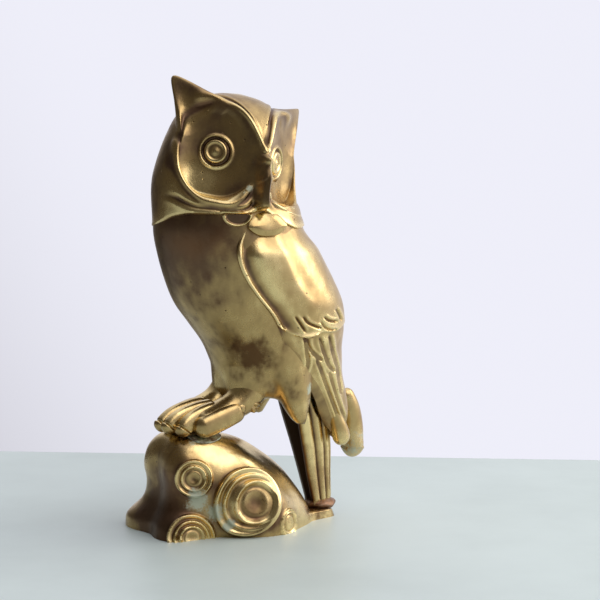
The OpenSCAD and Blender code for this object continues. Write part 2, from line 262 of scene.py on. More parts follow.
def add_piece(name, shells, look, nodes=(), sharp=50):
    starts = np.cumsum([0] + [len(shell[0]) for shell in shells])
    points = np.concatenate([shell[0] for shell in shells])
    quads = np.concatenate([shell[1] + start for shell, start in zip(shells, starts)])
    tris = np.concatenate([shell[2] + start for shell, start in zip(shells, starts)])
    mesh = bpy.data.meshes.new(name)
    corners = np.concatenate([quads.ravel(), tris.ravel()]).astype(np.int32)
    sizes = np.concatenate([np.full(len(quads), 4), np.full(len(tris), 3)]).astype(np.int32)
    mesh.vertices.add(len(points))
    mesh.vertices.foreach_set("co", (ORIGIN + points * MM).astype(np.float32).ravel())
    mesh.loops.add(len(corners))
    mesh.loops.foreach_set("vertex_index", corners)
    mesh.polygons.add(len(sizes))
    mesh.polygons.foreach_set("loop_start", np.concatenate([[0], np.cumsum(sizes)[:-1]]).astype(np.int32))
    mesh.polygons.foreach_set("use_smooth", np.ones(len(sizes), bool))
    mesh.update(calc_edges=True)
    mesh.validate()
    mesh.set_sharp_from_angle(angle=np.radians(sharp))
    for title, column in (("wear", 3), ("residue", 4)):
        layer = mesh.attributes.new(title, "FLOAT", "POINT")
        layer.data.foreach_set("value", np.concatenate([s[column] for s in shells]).astype(np.float32))
    piece = bpy.data.objects.new(name, mesh)
    bpy.context.scene.collection.objects.link(piece)
    mesh.materials.append(look)
    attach(piece, "root")
    if nodes:
        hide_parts(*nodes)
    return piece


def tube(path, square=1.0, columns=48, rows=90):
    """A closed tube through rows of [x, y, z, half width, half height], rounded over at both ends.

    Its section is an oval across the path, squarer where the power on its sine and cosine is below 1; the
    last half size of each end shrinks as a quarter circle.
    """
    table = np.array([[i, *row] for i, row in enumerate(path)], float)
    row = smooth_rows(table, between(0, len(path) - 1, rows))[:, 1:]
    middle = row[:, :3]
    ahead = np.gradient(middle, axis=0)
    ahead /= np.linalg.norm(ahead, axis=1, keepdims=True)
    across = np.cross([0.0, 0, 1], ahead)
    across /= np.linalg.norm(across, axis=1, keepdims=True)
    rise = np.cross(ahead, across)
    length = np.concatenate([[0], np.cumsum(np.linalg.norm(np.diff(middle, axis=0), axis=1))])
    size = row[:, 3:].mean(1)
    near_end = np.clip(np.minimum(length, length[-1] - length) / size, 0, 1)
    swell = np.sqrt(np.clip(1 - (1 - near_end) ** 2, 0.0004, 1))
    a = between(0, 2 * np.pi, columns + 1)[:-1]
    sideways, upwards = (np.sign(f) * np.abs(f) ** square for f in (np.cos(a), np.sin(a)))
    wide = (row[:, 3] * swell)[:, None, None] * across[:, None] * sideways[None, :, None]
    tall = (row[:, 4] * swell)[:, None, None] * rise[:, None] * upwards[None, :, None]
    return middle[:, None] + wide + tall


# Share of a petal's rows that lie on its flat back
PETAL_BACK = 0.25


def petal(middle, ahead, up, outline, height, depth, rim=0.0, rows=48, columns=120):
    """A closed cushion on a surface: a dome of some height over an outline, and a flat back below it.

    At share r of the way from the middle to the outline it stands height * (1 - r^3) above the surface, and
    a rim may stand round it.
    """
    ahead, up = np.array(ahead, float), np.array(up, float)
    across = np.cross(up, ahead)
    t = between(0, 1, rows)[:, None]
    share = np.where(t < PETAL_BACK, t / PETAL_BACK, 1 - (t - PETAL_BACK) / (1 - PETAL_BACK))
    share = np.clip(share, 0.002, 1)
    lift = np.where(t < PETAL_BACK, -depth, height * (1 - share**3) + rim * bump(share - 0.86, 0.09))
    a = between(0, 2 * np.pi, columns + 1)[None, :-1]
    flat = outline(a) * share[..., None]
    return (np.array(middle, float) + flat[..., :1] * across + flat[..., 1:] * up
            + np.broadcast_to(lift, share.shape)[..., None] * ahead)


def slanted_chart(points, side):
    """A flat chart of a flank, seen a little from the front: across it, and up it."""
    return np.stack([0.485 * side * points[..., 0] + 0.875 * points[..., 1], points[..., 2]], -1)


# ---- Body ---------------------------------------------------------------------------------

# Height, middle in y, half depth in y and half width in x, from the vent to the neck
BODY_ROWS = [
    [60, 12, 0.5, 0.5], [61.5, 13, 10, 11], [65, 14.5, 16.5, 18], [71, 17, 22, 23], [78, 19.5, 27, 26.5],
    [87, 20, 31.5, 30], [96, 17.5, 35.5, 33], [106, 13, 38.5, 35], [116, 8.5, 38.5, 35.5],
    [129, 3, 37, 35], [141, -0.8, 35.5, 34], [150, -1, 34, 33], [156, -1, 31, 30.5],
]
# Heights between which the body's skin is worked out, and the power by which its rows crowd downwards
BODY_SPAN, BODY_CROWDING = (61, 152.5), 1.4
# The feathered lobe behind each thigh: where it leaves the body, how far it hangs, and how wide it is
LOBE_ROOT, LOBE_HANG, LOBE_WIDTH = np.array([20.0, 24, 69]), np.array([0.5, 3, -19]), 15
# Where the belly is drawn down and forward into each leg
SHANK_ROOT, SHANK_HANG, SHANK_WIDTH = np.array([9.0, 3, 65]), np.array([0, -5.0, -5]), 15


def oval(row, angle):
    """Points at angles round an oval whose row gives height, middle, half depth and half width."""
    height = np.broadcast_to(row[..., 0], angle.shape)
    return np.stack([row[..., 3] * np.cos(angle), row[..., 1] + row[..., 2] * np.sin(angle), height], -1)


def body_grid(rows=230, cols=330):
    """The body: an oval at each height, with a lobe of feathers pulled down behind each thigh."""
    t = between(0, 1, rows)[:, None]
    z = BODY_SPAN[0] + (BODY_SPAN[1] - BODY_SPAN[0]) * t**BODY_CROWDING
    angle = np.broadcast_to(between(0, 2 * np.pi, cols + 1)[None, :-1], (rows, cols))
    points = oval(smooth_rows(BODY_ROWS, z), angle)
    for side in (LEFT, RIGHT):
        flip = np.array([side, 1, 1])
        for root, hang, width in ((LOBE_ROOT, LOBE_HANG, LOBE_WIDTH), (SHANK_ROOT, SHANK_HANG, SHANK_WIDTH)):
            near = np.linalg.norm(points - root * flip, axis=-1)
            points = points + (hang * flip) * pull(near, width)[..., None]
    return points


# ---- Head ---------------------------------------------------------------------------------

# Height, middle in y, half depth in x and half width in y
HEAD_ROWS = [
    [133, 1.6, 34.6, 36.4], [141.3, -0.9, 34, 35.5], [150, -1, 33.5, 34.8], [160, -1, 33, 34.2],
    [170, -1, 32, 33], [180, -1, 29.5, 31], [190, -1, 25.5, 27.5], [198, -1, 18.5, 20.5],
    [202.8, -1, 9.5, 10.5], [204.3, -1, 0.4, 0.4],
]
# Heights between which the head's skin is worked out, and the power by which its rows crowd upwards
HEAD_SPAN, HEAD_CROWDING = (134, 204.2), 1.25
# Sideways tilt of the upper head, the heights over which it comes in, and the height of the skull's middle
HEAD_ROLL, ROLL_SPAN, SKULL_Z = np.radians(11), (143, 163), 170
# How far the middle line of the face stands forward, how fast it falls back sideways and leans back above a
# height, how softly that lean starts, and how far the beak stands out
FACE_FRONT, FACE_SLOPE, FACE_LEAN, LEAN_FROM, LEAN_BEND, BEAK_HEIGHT = 35.5, 0.86, 0.35, 8, 5, 6.5
DISC_MIDDLE, DISC_RADII, DISC_DEPTH = (16, 6), (15.8, 21.8), 6.0
# A point on the line that cuts off each disc's upper outer corner, and the direction away from the disc
CUT_PLACE, CUT_WAY = np.array([32.7, 14.7]), np.array([0.766, 0.643])
# Distance inside that line at which it no longer counts
CUT_REACH = 13
# Ear tufts: a root on the skull, the width of the base, the tips on either side, and their roundness
TUFT_ROOT, TUFT_WIDTH = np.array([8.0, 24, 22]), 13
TUFT_TIPS = {LEFT: np.array([-6.0, 35.6, 33.6]), RIGHT: np.array([-7.2, 33.9, 37.4])}
TUFT_ROUNDNESS = {LEFT: 0.4, RIGHT: 1.7}

# Lines of the face, as sideways and up from the middle of the skull; both halves share them
BROW_LINE = [(22, 20), (18, 26), (14, 27.9), (9.4, 25.4), (5.4, 20), (3, 15), (1.1, 10.3), (0.2, 5.6)]
# The brow line run on past its outer end, round the disc
HOOD_LINE = [(42, -14), (38.5, 4), (33.5, 15), (26, 22.5), *BROW_LINE[1:]]


def head_place(p):
    """Turns places forward, sideways and up from the middle of the skull into the sculpture's axes."""
    turn = HEAD_ROLL * ease(p[..., 2] + SKULL_Z, *ROLL_SPAN)
    side = p[..., 1] * np.cos(turn) + p[..., 2] * np.sin(turn)
    up = p[..., 2] * np.cos(turn) - p[..., 1] * np.sin(turn)
    return np.stack([p[..., 0], side - 1, up + SKULL_Z], -1)


def disc_share(side, up):
    """How far inside an eye disc a place is: 0 at its middle and 1 at its rim.

    The rim is |x|^p + |y|^p = 1, where p is 2 towards the beak and 3 in the squarer lower corner. A slanted
    line cuts off the upper outer corner; the two rims are joined as the 8th root of their 8th powers' sum.
    """
    x, y = (np.abs(side) - DISC_MIDDLE[0]) / DISC_RADII[0], (up - DISC_MIDDLE[1]) / DISC_RADII[1]
    p = 2 + ease(x, 0, 0.5) * ease(y, 0.1, -0.5)
    oval_share = (np.abs(x) ** p + np.abs(y) ** p) ** (1 / p)
    past = (np.stack([np.abs(side), up], -1) - CUT_PLACE) @ CUT_WAY
    return (oval_share**8 + np.clip(1 + past / CUT_REACH, 0, None) ** 8) ** (1 / 8)


def face_reach(side, up):
    """Forward reach of the face: two dished discs that lean back above, either side of a beak.

    A disc is as deep as 1 - share^2.3, and shallower near the brow that overhangs it. The beak is a keel that
    is highest at its lower end.
    """
    share = disc_share(side, up)
    lean = FACE_LEAN / 2 * (up - LEAN_FROM + np.hypot(up - LEAN_FROM, LEAN_BEND))
    gap, hand, _ = nearest(np.stack([np.abs(side), up], -1), drawn(HOOD_LINE, 60))
    hood = ease(gap * hand, -0.2, 5) * (1 - 0.25 * ease(up, 4, 20))
    dish = DISC_DEPTH * np.clip(1 - share**2.3, 0, None) * hood
    keel = ease(np.abs(side), 3.2, 1.1) * (0.5 + 0.5 * ease(up, 3, -5))
    beak = BEAK_HEIGHT * keel * ease(up, 7.5, 5) * ease(up, -19, -15.5)
    return FACE_FRONT - FACE_SLOPE * np.abs(side) - lean - dish + beak


def head_grid(rows=200, cols=440):
    """The head before its relief, its chart (sideways and up) and its angle, for every point of the grid.

    It is an oval at each height. Over the face the oval gives way to the discs' own reach, and each tuft is a
    pull from its root towards its tip. Columns are three times closer together on the face than on the nape.
    """
    turn = between(-np.pi, np.pi, cols + 1)[:-1]
    angle = np.broadcast_to((turn - 0.5 * np.sin(turn))[None, :], (rows, cols))
    t = between(0, 1, rows)[:, None]
    z = HEAD_SPAN[0] + (HEAD_SPAN[1] - HEAD_SPAN[0]) * (1 - (1 - t) ** HEAD_CROWDING)
    row = smooth_rows(HEAD_ROWS, z)
    back = row[..., 2] * np.cos(angle)
    side = row[..., 3] * np.sin(angle)
    up = np.broadcast_to(z - SKULL_Z, angle.shape)
    soft = 0.06 + 0.2 * ease(np.abs(side), 12, 28) * ease(up, 0, 22)
    facing = ease(disc_share(side, up) - 1, soft, -soft)
    facing = facing + bump(side, 4) * ease(up, -20, -16) * ease(up, 14, 4)
    facing = np.clip(facing, 0, 1) * ease(np.cos(angle), 0, 0.25)
    reach = back + (face_reach(side, up) - back) * facing
    middle = np.where(up < -28, row[..., 1] + 1, 0)
    points = np.stack([reach, side + middle, up], -1)
    hand = np.where(side < 0, -1, 1)
    flat = np.stack([back, side * hand, up], -1)
    roundness = np.where(side < 0, TUFT_ROUNDNESS[RIGHT], TUFT_ROUNDNESS[LEFT])
    blunt = np.hypot(np.linalg.norm(flat - TUFT_ROOT, axis=-1), roundness) - 0.47 * roundness
    drag = pull(blunt, TUFT_WIDTH)[..., None]
    tip = np.where(side[..., None] < 0, TUFT_TIPS[RIGHT], TUFT_TIPS[LEFT])
    way = (tip - TUFT_ROOT) * np.stack([np.ones_like(hand), hand, np.ones_like(hand)], -1)
    points = points + way * drag
    return head_place(points), np.stack([side, up], -1), angle


# ---- Wings --------------------------------------------------------------------------------

# Height, middle in y, half depth and half width of the wings' outer face, from their tips up
WING_ROWS = [
    [32, 60, 4, 4], [40, 56, 9, 9], [50, 50, 16, 15], [60, 41, 23, 20.5], [70, 31, 30, 26],
    [78, 26, 34, 30.5], [87, 22.6, 36.2, 34], [96, 19, 38.7, 36.2], [106, 14.5, 41.3, 38.2],
    [116, 9.7, 41.3, 38.6], [129, 3.8, 39.8, 38.2], [141, -0.8, 38.0, 36.6], [148, -1, 37, 35.8],
]
# Height and angle of a wing's leading edge, measured from the body's side towards its back
WING_EDGE_ROWS = [
    [32, -10], [37, -25], [41, -40], [48, -35], [57, -20], [66, -11.5], [73, -11.5], [80, -15],
    [88, -17.6], [96, -18.2], [104, -20], [112, -24], [121, -27.3], [129, -27.5], [135, -24.5],
    [141, -18], [148, -10],
]
# Heights between which each wing's skin is worked out, and the angle of its edge at the middle of the back
WING_SPAN, WING_BACK = {LEFT: (36, 146.5), RIGHT: (39, 146.5)}, 89.5
# How far the right wing's tip drops behind the left one
TIP_DROP = np.array([0, 9.0, -6])
# Rounded end of each wing: rows of [x, y, z, half width, half height]
WING_TIPS = {
    LEFT: [[10, 49.5, 57, 2.2, 2.2], [9.6, 53, 48, 3.3, 3.4], [9, 55.8, 40.5, 4.2, 4.4],
           [8.4, 56.8, 34.5, 4, 4.2]],
    RIGHT: [[-2, 65.4, 60, 2.6, 3], [-3.4, 69, 50, 4.6, 5], [-5, 71.4, 39.5, 5.2, 6], [-5.6, 71.8, 31, 5.2, 6],
            [-5.6, 71.4, 25, 4.4, 5]],
}


def wing_grid(side, rows=256, cols=180):
    """A wing before its relief: ovals from its leading edge round to the middle of the back."""
    z = between(*WING_SPAN[side], rows)[:, None]
    edge = np.radians(smooth_rows(WING_EDGE_ROWS, z)[..., 1])
    t = between(0, 1, cols)[None, :]
    angle = edge + (np.radians(WING_BACK) - edge) * t
    points = oval(smooth_rows(WING_ROWS, z), angle)
    if side == RIGHT:
        points = points + TIP_DROP * ease(points[..., 2:], 62, 32)
    return points


# ---- Mound --------------------------------------------------------------------------------

# Direction round the mound, then reach and height of eight places from its foot to its top
MOUND_ROWS = [
    [-185, 34, 0, 34, 7, 33, 15, 31, 23, 28, 31, 22.5, 39, 14, 45.5, 0, 48],
    [-145, 37, 0, 36, 6, 28, 14, 26, 22, 27, 31, 23.5, 40, 15, 46, 0, 48],
    [-95, 24.5, 0, 24, 6, 20, 14, 18.5, 22, 19.5, 31, 18, 40, 12, 46.5, 0, 48],
    [-52, 31, 0, 29, 7, 24.5, 14, 23, 22, 23.5, 31, 21, 39, 14, 45.5, 0, 48],
    [-20, 22.8, 0, 22.8, 7, 22.5, 14, 23, 22, 22.5, 30, 19.5, 38.5, 13, 45, 0, 48],
    [5, 24, 0, 25.5, 7, 26.5, 15, 26, 23, 23.5, 31, 19.5, 38.5, 13, 45, 0, 48],
    [37, 42, 0, 42.5, 7, 41.5, 15, 37, 23, 31, 31, 24, 38, 14, 44.5, 0, 48],
    [60, 49, 0, 48.5, 5, 46.5, 12, 42, 20, 36, 28, 27, 36.5, 15.5, 44, 0, 48],
    [85, 60, 0, 58.5, 4, 55.5, 10, 50, 18, 43.5, 26, 34, 34, 20, 42.5, 0, 48],
    [112, 57, 0, 56, 4, 53, 10, 47.5, 18, 40.5, 26, 31, 34.5, 18, 43, 0, 48],
    [145, 44, 0, 43.5, 6, 42, 14, 38, 22, 32.5, 30, 25, 38, 14.5, 44.5, 0, 48],
    [175, 34, 0, 34, 7, 33, 15, 31, 23, 28, 31, 22.5, 39, 14, 45.5, 0, 48],
]
MOUND_AXIS = np.array([-1.0, -18, 0])
# Columns run round the mound between these directions
MOUND_TURN = (-185, 175)
# The tab that carries the tail: its direction, half its angle at 1/e of its reach, its reach and its height
TAB_DIRECTION, TAB_SPREAD, TAB_REACH, TAB_HEIGHT = 83, 4.5, 12, 3.5


def mound_points(direction, w):
    """Points of the mound at directions in degrees and shares w of the way from its foot to its top.

    A smooth curve round the mound gives the eight places of a direction, and a smooth curve through those
    gives the point.
    """
    shape = np.broadcast_shapes(direction.shape, w.shape)
    direction, w = np.broadcast_to(direction, shape), np.broadcast_to(w, shape)
    row = smooth_rows(MOUND_ROWS, direction)
    stops = np.arange(8)
    spot = 7 * w
    i = np.clip(spot.astype(int), 0, 6)
    t = spot - i
    s = t * t * (3 - 2 * t)
    pairs = row[..., 1:].reshape(shape + (8, 2))
    low, high = np.maximum(stops - 1, 0), np.minimum(stops + 1, 7)
    slopes = (pairs[..., high, :] - pairs[..., low, :]) / (high - low)[:, None]

    def take(table, k):
        """The table's k-th pair, for every point."""
        return np.take_along_axis(table, k[..., None, None], -2)[..., 0, :]

    a, b, ma, mb = take(pairs, i), take(pairs, i + 1), take(slopes, i), take(slopes, i + 1)
    t, s = t[..., None], s[..., None]
    out = a * (1 - s) + b * s + ma * t * (1 - t) ** 2 - mb * t * t * (1 - t)
    tab = bump(direction - TAB_DIRECTION, TAB_SPREAD) * ease(out[..., 1], TAB_HEIGHT + 1, TAB_HEIGHT)
    reach = out[..., 0] + TAB_REACH * tab
    a = np.radians(direction)
    return MOUND_AXIS + np.stack([reach * np.cos(a), reach * np.sin(a), np.clip(out[..., 1], 0, None)], -1)


def mound_grid(rows, top, cols=430):
    """The mound on a grid of directions by shares of the way to its top."""
    direction = between(*MOUND_TURN, cols + 1)[None, :-1]
    return mound_points(direction, between(0, top, rows)[:, None])


# ---- Tail ---------------------------------------------------------------------------------

# Wall of the tail channel and the number of its feathers
TAIL_WALL, TAIL_FEATHERS = 2.4, 8
# Height, front edges in y, depth and half width of the tail channel
TAIL_ROWS = [[5.2, 44, 11, 4.4], [20, 40.2, 14.5, 5.4], [35, 36.5, 18, 7], [50, 32.5, 20, 8.8], [68, 28, 20, 10]]


def tail_grid(rows=160, cols=120):
    """The tail before its relief: half an oval at each height, open towards the owl's front."""
    z = between(TAIL_ROWS[0][0], TAIL_ROWS[-1][0], rows)[:, None]
    row = smooth_rows(TAIL_ROWS, z)
    angle = np.broadcast_to(between(0, np.pi, cols)[None, :], (rows, cols))
    return np.stack([row[..., 3] * np.cos(angle), row[..., 1] + row[..., 2] * np.sin(angle),
                     np.broadcast_to(z, (rows, cols))], -1)


# ---- Relief cast into the skins -------------------------------------------------------------

# Height of a crest, or depth of a furrow, at which its wear is complete
FULL_WEAR = 0.8
CROWN_LINE = [(17, 31), (11, 29.4), (6.2, 24.6), (3.6, 19.5), (1.8, 14.5), (0.6, 9)]
# The near disc's rim over the foot of its ear tuft
RIM_LINE = [(31.2, 4), (30.6, 9.5), (28, 13.2), (24.1, 17), (20.8, 20.6), (17, 25.4)]
RUFF_LINES = {
    RIGHT: [[(34, -15), (30, -17.6), (25, -18.8), (14, -19.2), (6.3, -18), (1.6, -14.3)]],
    LEFT: [[(31, -20), (24, -19.5), (15, -15.6), (7, -13), (2, -11)]],
}
# Angle round the neck in degrees, and height of the collar's edge above the middle of the skull
COLLAR_ROWS = [
    [-180, -29], [-120, -28], [-90, -25], [-72, -22.3], [-52, -20.9], [-32, -20.5], [-12, -20.3],
    [-3, -19.2], [3, -18.8], [12, -22.8], [33, -28], [52, -28.2], [90, -28.5], [180, -29],
]

# Lines of a wing, as across and up its slanted chart
COVERT_END = [(19, 100), (25.5, 95.6), (30, 93.2), (35, 92), (39.5, 92.6), (43.6, 93.8), (48, 93.3),
              (52, 93.8), (58, 98)]
SHOULDER_CREASE = [(21, 146), (23.7, 139), (27.4, 128), (31.5, 118.5), (37.2, 109.8), (43.4, 103.6)]
SCALLOP_LINES = [
    [(29.5, 103.3), (32.6, 98.5), (35.4, 94)],
    [(33.1, 103.3), (35.8, 99.3), (39.4, 97.1), (43.1, 95.6)],
    [(41.6, 100), (44.6, 95.8), (48, 94.2), (51.1, 93.8)],
    [(43.5, 101.4), (46.4, 98.9), (51, 97.6)],
    [(49.5, 104.3), (51.4, 100.5), (52.6, 97)],
]
QUILL_LINES = [
    [(34.6, 93), (36, 87), (37.3, 79), (36.3, 74.5), (33, 71.5), (30, 70)],
    [(36.3, 91.5), (37.6, 86.5), (40, 82.9), (45.2, 78.2)],
    [(42.2, 92), (45.6, 82.6), (48.3, 75.7), (51.9, 71.7)],
    [(47.1, 92.5), (50.1, 82.9), (53, 72.4), (55, 60)],
    [(41, 81.5), (45.3, 70.2), (48.9, 59.4), (53.7, 45.2), (55.8, 39.8)],
    [(48.5, 73), (52.1, 60.4), (56.7, 46.5)],
]

# An eye's middle and the radii of its outer ring, sideways and up
EYE_MIDDLE, EYE_RADII = (16, 5), (5.9, 7.7)


def head_relief(chart, angle):
    """Relief of the head as heights along its normals, in millimetres.

    The first is the brows, the discs' rims, the eyes' rings and the ruffs. The second is the collar, which
    stands out above its edge and falls inside the body below it.
    """
    side, up = chart[..., 0], chart[..., 1]
    half = np.stack([np.abs(side), up], -1)
    front = ease(np.cos(angle), 0.0, 0.15)
    relief = ridge(half, BROW_LINE, 0.9, 0.8, 0.1) + groove(half, CROWN_LINE, 0.7, 0.6)
    rim = (disc_share(side, up) - 1) * 17
    outer = np.maximum(ease(half[..., 0], 17, 22) * (1 - 0.6 * ease(up, 6, 14)),
                       ease(up, 0, -8) * ease(half[..., 0], 2, 6))
    outer = outer * (1 - 0.7 * ease(side, 8, 14))
    relief = relief + outer * (0.9 * bump(rim, 0.8) - 0.7 * bump(rim - 1.9, 0.7))
    ring = np.hypot((half[..., 0] - EYE_MIDDLE[0]) / EYE_RADII[0], (up - EYE_MIDDLE[1]) / EYE_RADII[1])
    relief = relief + 0.8 * bump(ring - 0.97, 0.09) - 0.45 * bump(ring - 0.8, 0.07)
    relief = relief + 1.1 * ease(ring, 0.76, 0.62) - 0.5 * ease(ring, 0.56, 0.42) + 0.7 * ease(ring, 0.4, 0)
    relief = relief + (side < 0) * groove(half, RIM_LINE, 0.7, 0.5, 0.15)
    for hand, lines in RUFF_LINES.items():
        part = (side * hand > 0).astype(float)
        relief = relief + part * sum(groove(half, line, 1.0, 0.8) for line in lines)
    relief = relief + 0.9 * bump(np.hypot(side, up - 4.2), 1.5)
    collar = smooth_rows(COLLAR_ROWS, np.degrees(np.arctan2(np.sin(angle), np.cos(angle))))[..., 1]
    above = up - collar
    proud = 0.6 + 0.7 * bump(angle - 0.55, 0.5)
    lip = ease(above, -0.9, 0.9) * (proud * np.exp(-np.clip(above, 0, None) / 4) + 2.0) - 1.9
    return front * relief, lip


# The thigh's feathered lobe, as across and up the slanted chart
LOBE_LINE = [(12, 96), (20, 89), (26.5, 80), (30, 70), (31.5, 60), (31, 52)]


def body_relief(points):
    """Swelling of the thighs' feathered lobes as a height along the body's normals, in millimetres."""
    chart = slanted_chart(np.abs(points) * np.array([1, 0, 1]) + points * np.array([0, 1, 0]), LEFT)
    gap, hand, share = nearest(chart, drawn(LOBE_LINE))
    front = ease(points[..., 1] + 0.3 * np.abs(points[..., 0]), 0, 8)
    swell = 2.4 * bump(gap, 6.5) * ease(share, 0, 0.5) - 0.8 * bump(gap * hand + 9, 2.6) * ease(share, 0.35, 0.7)
    return swell * front


def edge_distance(points):
    """Distance of each point from its row's first point, along the row, in millimetres."""
    steps = np.linalg.norm(np.diff(points, axis=1), axis=-1)
    return np.concatenate([np.zeros((len(points), 1)), np.cumsum(steps, axis=1)], axis=1)


def wing_relief(points):
    """Bead, covert, scallops and quills of a left wing as a height along its normals, in millimetres."""
    chart = slanted_chart(points, LEFT)
    inset = edge_distance(points)
    gap, hand, _ = nearest(chart, drawn(COVERT_END))
    covert = ease(gap * hand, -0.4, 0.5)
    covert = np.where(chart[..., 1] > 99, 1.0, np.where(chart[..., 1] < 89.5, 0.0, covert))
    rim = 2.3 * bump(inset - 1.2, 1.7) - 2.3 * (1 - ease(inset, 2, 13)) ** 1.3
    folded = 1.6 * (1 - ease(chart[..., 1], 95, 82)) - 1.6 - 0.6 * (1 - ease(inset, 0, 6))
    crease = shelf(chart, SHOULDER_CREASE, 0.8, 12, -1, 0.35, 2.5)
    scallops = sum(groove(chart, line, 0.9, 0.55, 0.2) for line in SCALLOP_LINES)
    quills = sum(groove(chart, line, 1.2, 0.7, 0.1) for line in QUILL_LINES)
    shoulder = -2.4 * ease(points[..., 2], 130, 143)
    rim = rim + ridge(chart, COVERT_END[:6], 1.2, 1.5, 0.2)
    return covert * (rim + crease + scallops) + (1 - covert) * (folded - 0.8 + quills) + shoulder


# Middle of each rosette on the mound, the way it faces and rises, its reach, how far it stands proud, and its
# rings as [sideways, up, radius, height, width]
ROSETTES = [
    [(18.8, -29.8, 28.3), -33, 14, 8.6, 1.2, [[0, 0, 7.6, 1.0, 0.8], [0, 0, 5.3, 1.0, 0.7], [0, 0, 0, -1.3, 2.6]]],
    [(30.0, -6.9, 17.3), -8, 16, 15.6, 1.9, [[0, 0, 14.2, 1.1, 1.0], [1.2, -0.3, 11.9, 0.9, 0.8],
                                            [3.2, -0.8, 9, 1.5, 0.95], [3.2, -0.8, 0, -2.6, 6.2]]],
    [(20.9, -32.4, 1.2), -31, 8, 10.9, 1.2, [[0, 0, 9.9, 1.0, 0.75], [0, 0, 7.4, 0.9, 0.65],
                                            [0, 0, 5.2, 1.0, 0.65], [0, 0, 0, -0.9, 2.4]]],
    [(30.6, 14.3, 4.9), 6, 12, 6.6, 0.5, [[0, 0, 6.2, 0.6, 0.45], [0, 0, 5.0, 0.7, 0.5]]],
]


def mound_relief(points):
    """Rosettes of raised rings on the mound as a height along its normals, in millimetres."""
    relief = np.zeros(points.shape[:2])
    for middle, turn, tilt, reach, proud, rings in ROSETTES:
        turn, tilt = np.radians(turn), np.radians(tilt)
        ahead = np.array([np.cos(turn) * np.cos(tilt), np.sin(turn) * np.cos(tilt), np.sin(tilt)])
        across = np.array([-np.sin(turn), np.cos(turn), 0])
        up = np.cross(ahead, across)
        away = points - np.array(middle)
        flat = np.stack([away @ across, away @ up], -1)
        near = ease(away @ ahead, -14, -8)
        relief = relief + near * proud * ease(np.hypot(flat[..., 0], flat[..., 1]), reach + 0.5, reach - 0.8)
        for x, y, radius, height, width in rings:
            distance = np.hypot(flat[..., 0] - x, flat[..., 1] - y) - radius
            relief = relief + near * height * bump(distance, width)
            if radius:
                relief = relief - near * 0.5 * bump(distance + 2.1 * width, width)
    return relief


def tail_relief(points):
    """Long feathers down the tail as a height along its normals: rounded ridges with sharp furrows between."""
    angle = between(0, np.pi, points.shape[1])[None, :]
    fade = ease(points[..., 2], 5, 9)
    return 1.3 * (np.abs(np.sin(TAIL_FEATHERS * angle)) ** 0.6 - 0.6) * fade


def hollow_and_edge(relief):
    """Wear from relief: -1 in furrows and 1 on crests, as the relief less its own broad shape.

    The broad shape is the relief averaged with its four neighbours three points away, twelve times over.
    """
    broad = relief
    for _ in range(12):
        shifted = [np.roll(broad, step, axis) for step in (3, -3) for axis in (0, 1)]
        broad = (broad + sum(shifted)) / 5
    return np.clip((relief - broad) / FULL_WEAR, -1, 1)


def spots(points, middles):
    """1 near any of a list of [x, y, z, radius] and 0 away from them all."""
    found = np.zeros(points.shape[:2])
    for *middle, radius in middles:
        found = np.maximum(found, bump(np.linalg.norm(points - np.array(middle), axis=-1), radius))
    return found


# ---- Finishes -------------------------------------------------------------------------------


class Value:
    """A number that varies over a surface; arithmetic on it adds Math nodes to its finish."""

    def __init__(self, finish, socket):
        self.finish, self.socket = finish, socket

    def maths(self, operation, *others):
        node = self.finish.add("ShaderNodeMath", {"operation": operation}, dict(enumerate([self, *others])))
        return Value(self.finish, node.outputs[0])

    def __add__(self, other):
        return self.maths("ADD", other)

    def __sub__(self, other):
        return self.maths("SUBTRACT", other)

    def __rsub__(self, other):
        return (self * -1) + other

    def __mul__(self, other):
        return self.maths("MULTIPLY", other)

    __radd__, __rmul__ = __add__, __mul__

    def above(self, low, high):
        """0 below low and 1 above high, with a smooth S between them."""
        settings = {"interpolation_type": "SMOOTHSTEP"}
        node = self.finish.add("ShaderNodeMapRange", settings, {"Value": self, "From Min": low, "From Max": high})
        return Value(self.finish, node.outputs["Result"])


